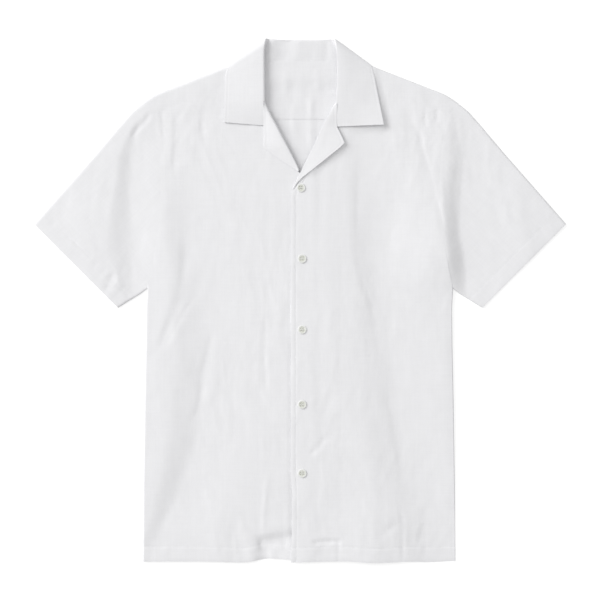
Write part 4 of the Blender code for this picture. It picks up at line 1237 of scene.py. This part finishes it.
def lapel_foot(side, roll, toward):
    """Where a lapel's row starts: just short of the front's edge, under its roll."""
    edge_line = np.array(FRONT_EDGE[side], float)
    ahead = unit(toward)
    for start, end in zip(edge_line, edge_line[1:]):
        step = end - start
        turn = ahead[0] * step[1] - ahead[1] * step[0]
        offset = start - roll
        if abs(turn) < 1e-9:
            continue
        reach = (offset[0] * step[1] - offset[1] * step[0]) / turn
        share = (offset[0] * ahead[1] - offset[1] * ahead[0]) / turn
        if 0 <= share <= 1 and reach > 0:
            return roll + ahead * (reach - FOOT_GAP * np.linalg.norm(step) / abs(turn))
    raise ValueError("a lapel row misses the front's edge")


def build_lapel(side, material):
    table = np.array(LAPEL_ROWS[side], float)
    last = len(table) - 1
    at = np.sort(np.concatenate((np.linspace(0, last, last * LAPEL_ROW_COUNT + 1), [0.04, last - 0.04])))
    rows = []
    for values in np.stack([np.interp(at, np.arange(last + 1), column) for column in table.T], axis=1):
        roll, edge = values[:2], values[2:4]
        rows.append(turned_section(side, lapel_foot(side, roll, edge - roll), roll, edge, values[4]))
    grid = np.array(rows)
    grid = placed(side, grid, grid[..., 2])
    on_fall = smooth((np.arange(grid.shape[1]) - FALL_START) / 8)
    grid[..., 2] += (edge_stitch_groove(grid) + cloth_waves(grid, LAPEL_WAVES, LAPEL_SEED)) * on_fall
    middle = (grid.shape[0] // 2, grid.shape[1] - 12)
    return shell(f"lapel_{SIDE_NAMES[side]}", grid, turned_thickness(grid), material, middle, centred=True)


# ---- stitches ----


def capsule(length, radius):
    """A stitch along X with round ends: its points and faces."""
    turns = 2 * np.pi * np.arange(STITCH_SIDES) / STITCH_SIDES
    points = []
    for place, size in STITCH_STATIONS:
        points += [(place * length, radius * size * math.cos(t), radius * size * math.sin(t)) for t in turns]
    tip = len(points)
    points += [(-STITCH_TIP * length, 0, 0), (STITCH_TIP * length, 0, 0)]
    faces, ends = [], []
    last = tip - STITCH_SIDES
    for k in range(STITCH_SIDES):
        after = (k + 1) % STITCH_SIDES
        ends += [(tip, k, after), (tip + 1, last + after, last + k)]
    for ring in range(0, last, STITCH_SIDES):
        for k in range(STITCH_SIDES):
            a, b = ring + k, ring + (k + 1) % STITCH_SIDES
            faces.append((a, a + STITCH_SIDES, b + STITCH_SIDES, b))
    return np.array(points), faces + ends


def joined(copies, faces):
    """Placed copies of one shape as one list of points and one of faces."""
    starts = range(0, len(copies) * len(copies[0]), len(copies[0]))
    return np.concatenate(copies), [tuple(start + i for i in face) for start in starts for face in faces]


def sew(name, runs, material):
    """Stitches in rows along lines of 3-D points."""
    stitch, faces = capsule(STITCH_LENGTH, STITCH_RADIUS)
    copies = []
    for line in runs:
        pitch = STITCH_PITCH / reaches(line)[-1]
        places = (np.arange(int(1 / pitch)) + 0.5) * pitch
        ahead = unit(along(line, places + 0.4 * pitch) - along(line, places - 0.4 * pitch))
        beside = unit(np.cross(np.array((0, 0, 1.0)), ahead))
        axes = np.stack((ahead, beside, np.cross(ahead, beside)), axis=1)
        copies += [centre + stitch @ turned for centre, turned in zip(along(line, places), axes)]
    return add_piece(name, *joined(copies, faces), [material], "linen")


def sew_sleeve(side, material):
    """Stitches of the cuff's hem on the sleeve's upper face."""
    ends = np.array(CUFF)
    ends = ends + (CUFF_DEPTH - STITCH_FROM_FOLD) * right_of(unit(ends[1] - ends[0]))
    run = along(ends, np.linspace(*CUFF_STITCHES, 190))
    line = placed(side, run, sleeve_top(side, run) + STITCH_LIFT)
    return sew(f"stitches_sleeve_{SIDE_NAMES[side]}", [line], material)


def sew_front(side, material):
    """The hem's stitches, and the front edge's on the upper front."""
    outs = np.arange(*HEM_STITCHES[side])
    runs = [np.stack((outs, HEM_DEPTH - STITCH_FROM_FOLD + hem_wave(side, outs)), axis=1)]
    if side == LEFT:
        ups = np.arange(*FRONT_STITCHES)
        runs.append(np.stack((out_at(FRONT_EDGE[LEFT], ups) + FRONT_STITCH, ups), axis=1))
    lines = [placed(side, run, front_top(side, run) + STITCH_LIFT) for run in runs]
    return sew(f"stitches_front_{SIDE_NAMES[side]}", lines, material)


# ---- buttons ----


def build_button(node, pearls, thread):
    low, high = (np.array(corner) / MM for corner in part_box(node))
    centre = (low + high)[:2] / 2
    if centre[1] - HEM_Y > LAPEL_END_UP:
        centre[0] += TOP_BUTTON_SHIFT
    rings = curve_through(BUTTON_FACE, 4)
    turns = np.linspace(0, 2 * math.pi, BUTTON_SEGMENTS, endpoint=False)
    x = rings[:, 0, None] * np.cos(turns)
    y = rings[:, 0, None] * np.sin(turns)
    z = np.repeat(rings[:, 1, None], BUTTON_SEGMENTS, axis=1)
    upper = np.arange(len(rings)) < len(rings) * 0.5
    for hole_x in (-1, 1):
        for hole_y in (-1, 1):
            away = np.hypot(x - hole_x * HOLE_SPACING / 2, y - hole_y * HOLE_SPACING / 2)
            hole = HOLE_DEPTH * (1 - smooth((away / HOLE_RADIUS - 0.75) / 0.5))
            z -= np.where(upper[:, None], hole, 0)
    seat = front_top(LEFT, np.array([[centre[0], centre[1] - HEM_Y]]))[0] - BUTTON_SINK
    grid = np.stack((x + centre[0], y + centre[1], z + seat), axis=-1)
    faces = quads_of(len(rings), BUTTON_SEGMENTS, closed=True).reshape(-1, 4).tolist()
    first = range(BUTTON_SEGMENTS)
    faces += [list(first), [(len(rings) - 1) * BUTTON_SEGMENTS + k for k in reversed(first)]]
    piece = add_piece(node.replace("button", "pearl_button"), grid.reshape(-1, 3), faces, pearls, "button")
    # The dish takes the second, darker pearl: its own greener tint, plus painted shade in the hollow
    in_tinted_shaded_dish = np.repeat((rings[:-1, 0] < DISH_RADIUS) & upper[:-1], BUTTON_SEGMENTS)
    piece.data.polygons.foreach_set("material_index", [*in_tinted_shaded_dish.astype(int), 1, 0])
    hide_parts(node)
    sew_button(node, (*centre, seat + BUTTON_FACE[0].height), thread)


def sew_button(node, centre, material):
    """Two bars of thread between a button's holes."""
    bar, faces = capsule(HOLE_SPACING, THREAD_RADIUS)
    bars = [bar[:, (1, 0, 2)] + centre + (side * HOLE_SPACING / 2, 0, 0) for side in (-1, 1)]
    add_piece(node.replace("button", "thread_button"), *joined(bars, faces), [material], "linen")


# ---- stage ----


def seen_directly(tree):
    """1 where a camera, glossy or transmission ray looks, and 0 for light that falls on things."""
    path = add_node(tree, "ShaderNodeLightPath")
    first = maths(tree, "MAXIMUM", path.outputs["Is Camera Ray"], path.outputs["Is Glossy Ray"])
    return maths(tree, "MAXIMUM", first, path.outputs["Is Transmission Ray"])


def cleared_tree(owner):
    owner.use_nodes = True
    owner.node_tree.nodes.clear()
    return owner.node_tree


def build_floor():
    """A pale floor that takes shadows and, looked at, glows white."""
    mesh = bpy.data.meshes.new("floor")
    corners = [(x * FLOOR_HALF, y * FLOOR_HALF, 0) for x, y in ((-1, -1), (1, -1), (1, 1), (-1, 1))]
    mesh.from_pydata(corners, [], [(0, 1, 2, 3)])
    floor = bpy.data.objects.new("floor", mesh)
    bpy.context.scene.collection.objects.link(floor)
    material = bpy.data.materials.new("floor")
    tree = cleared_tree(material)
    diffuse = add_node(tree, "ShaderNodeBsdfDiffuse", {}, {"Color": (FLOOR_DIFFUSE,) * 3 + (1,)})
    strength = maths(tree, "MULTIPLY", seen_directly(tree), FLOOR_GLOW)
    glow = add_node(tree, "ShaderNodeEmission", {}, {"Color": (1, 1, 1, 1), "Strength": strength})
    both = add_node(tree, "ShaderNodeAddShader", {}, {0: diffuse.outputs[0], 1: glow.outputs[0]})
    add_node(tree, "ShaderNodeOutputMaterial", {}, {"Surface": both.outputs[0]})
    mesh.materials.append(material)


def build_world():
    """Even white light all round, and a white background."""
    bpy.context.scene.world = bpy.data.worlds.new("studio")
    tree = cleared_tree(bpy.context.scene.world)
    inputs = {"Value": seen_directly(tree), "To Min": AMBIENT, "To Max": 1.0}
    strength = add_node(tree, "ShaderNodeMapRange", {}, inputs).outputs[0]
    background = add_node(tree, "ShaderNodeBackground", {}, {"Color": (1, 1, 1, 1), "Strength": strength})
    add_node(tree, "ShaderNodeOutputWorld", {}, {"Surface": background.outputs[0]})


def build_key_light():
    """A wide disc of light, low over the shirt's right shoulder and turned toward it."""
    data = bpy.data.lights.new("key", "AREA")
    data.shape = "DISK"
    data.size = KEY_SIZE
    data.energy = KEY_POWER
    key = bpy.data.objects.new("key", data)
    key.location = KEY_PLACE
    x, y, z = KEY_PLACE
    key.rotation_euler = (math.acos(z / math.hypot(x, y, z)), 0, math.atan2(y, x) + math.pi / 2)
    bpy.context.scene.collection.objects.link(key)


def build_camera():
    """A camera straight above the shirt, looking down."""
    data = bpy.data.cameras.new("camera")
    data.lens = CAMERA_LENS
    camera = bpy.data.objects.new("camera", data)
    camera.location = CAMERA_PLACE
    bpy.context.scene.collection.objects.link(camera)
    bpy.context.scene.camera = camera


def main():
    build_camera()
    build_world()
    build_key_light()
    build_floor()
    cloth = linen("linen")
    thread = sewing_thread()
    pearls = (pearl("pearl_rim", PEARL_RIM), pearl("pearl_dish_tint_and_shade", PEARL_DISH_TINT_AND_SHADE))
    pieces = {"back_body": build_back_body(cloth), "back_yoke": build_yoke(cloth)}
    for side, name in SIDE_NAMES.items():
        pieces[f"front_{name}"] = build_front(side, cloth)
        pieces[f"sleeve_{name}"] = build_sleeve(side, linen(f"linen_sleeve_{name}", side * SLEEVE_GRAIN))
        pieces[f"lapel_{name}"] = build_lapel(side, cloth)
        sew_front(side, thread)
        sew_sleeve(side, thread)
    pieces["collar"] = build_collar(cloth)
    for node in BUTTON_NODES:
        build_button(node, pearls, thread)


main()

bpy.context.scene.view_settings.view_transform = "Standard"
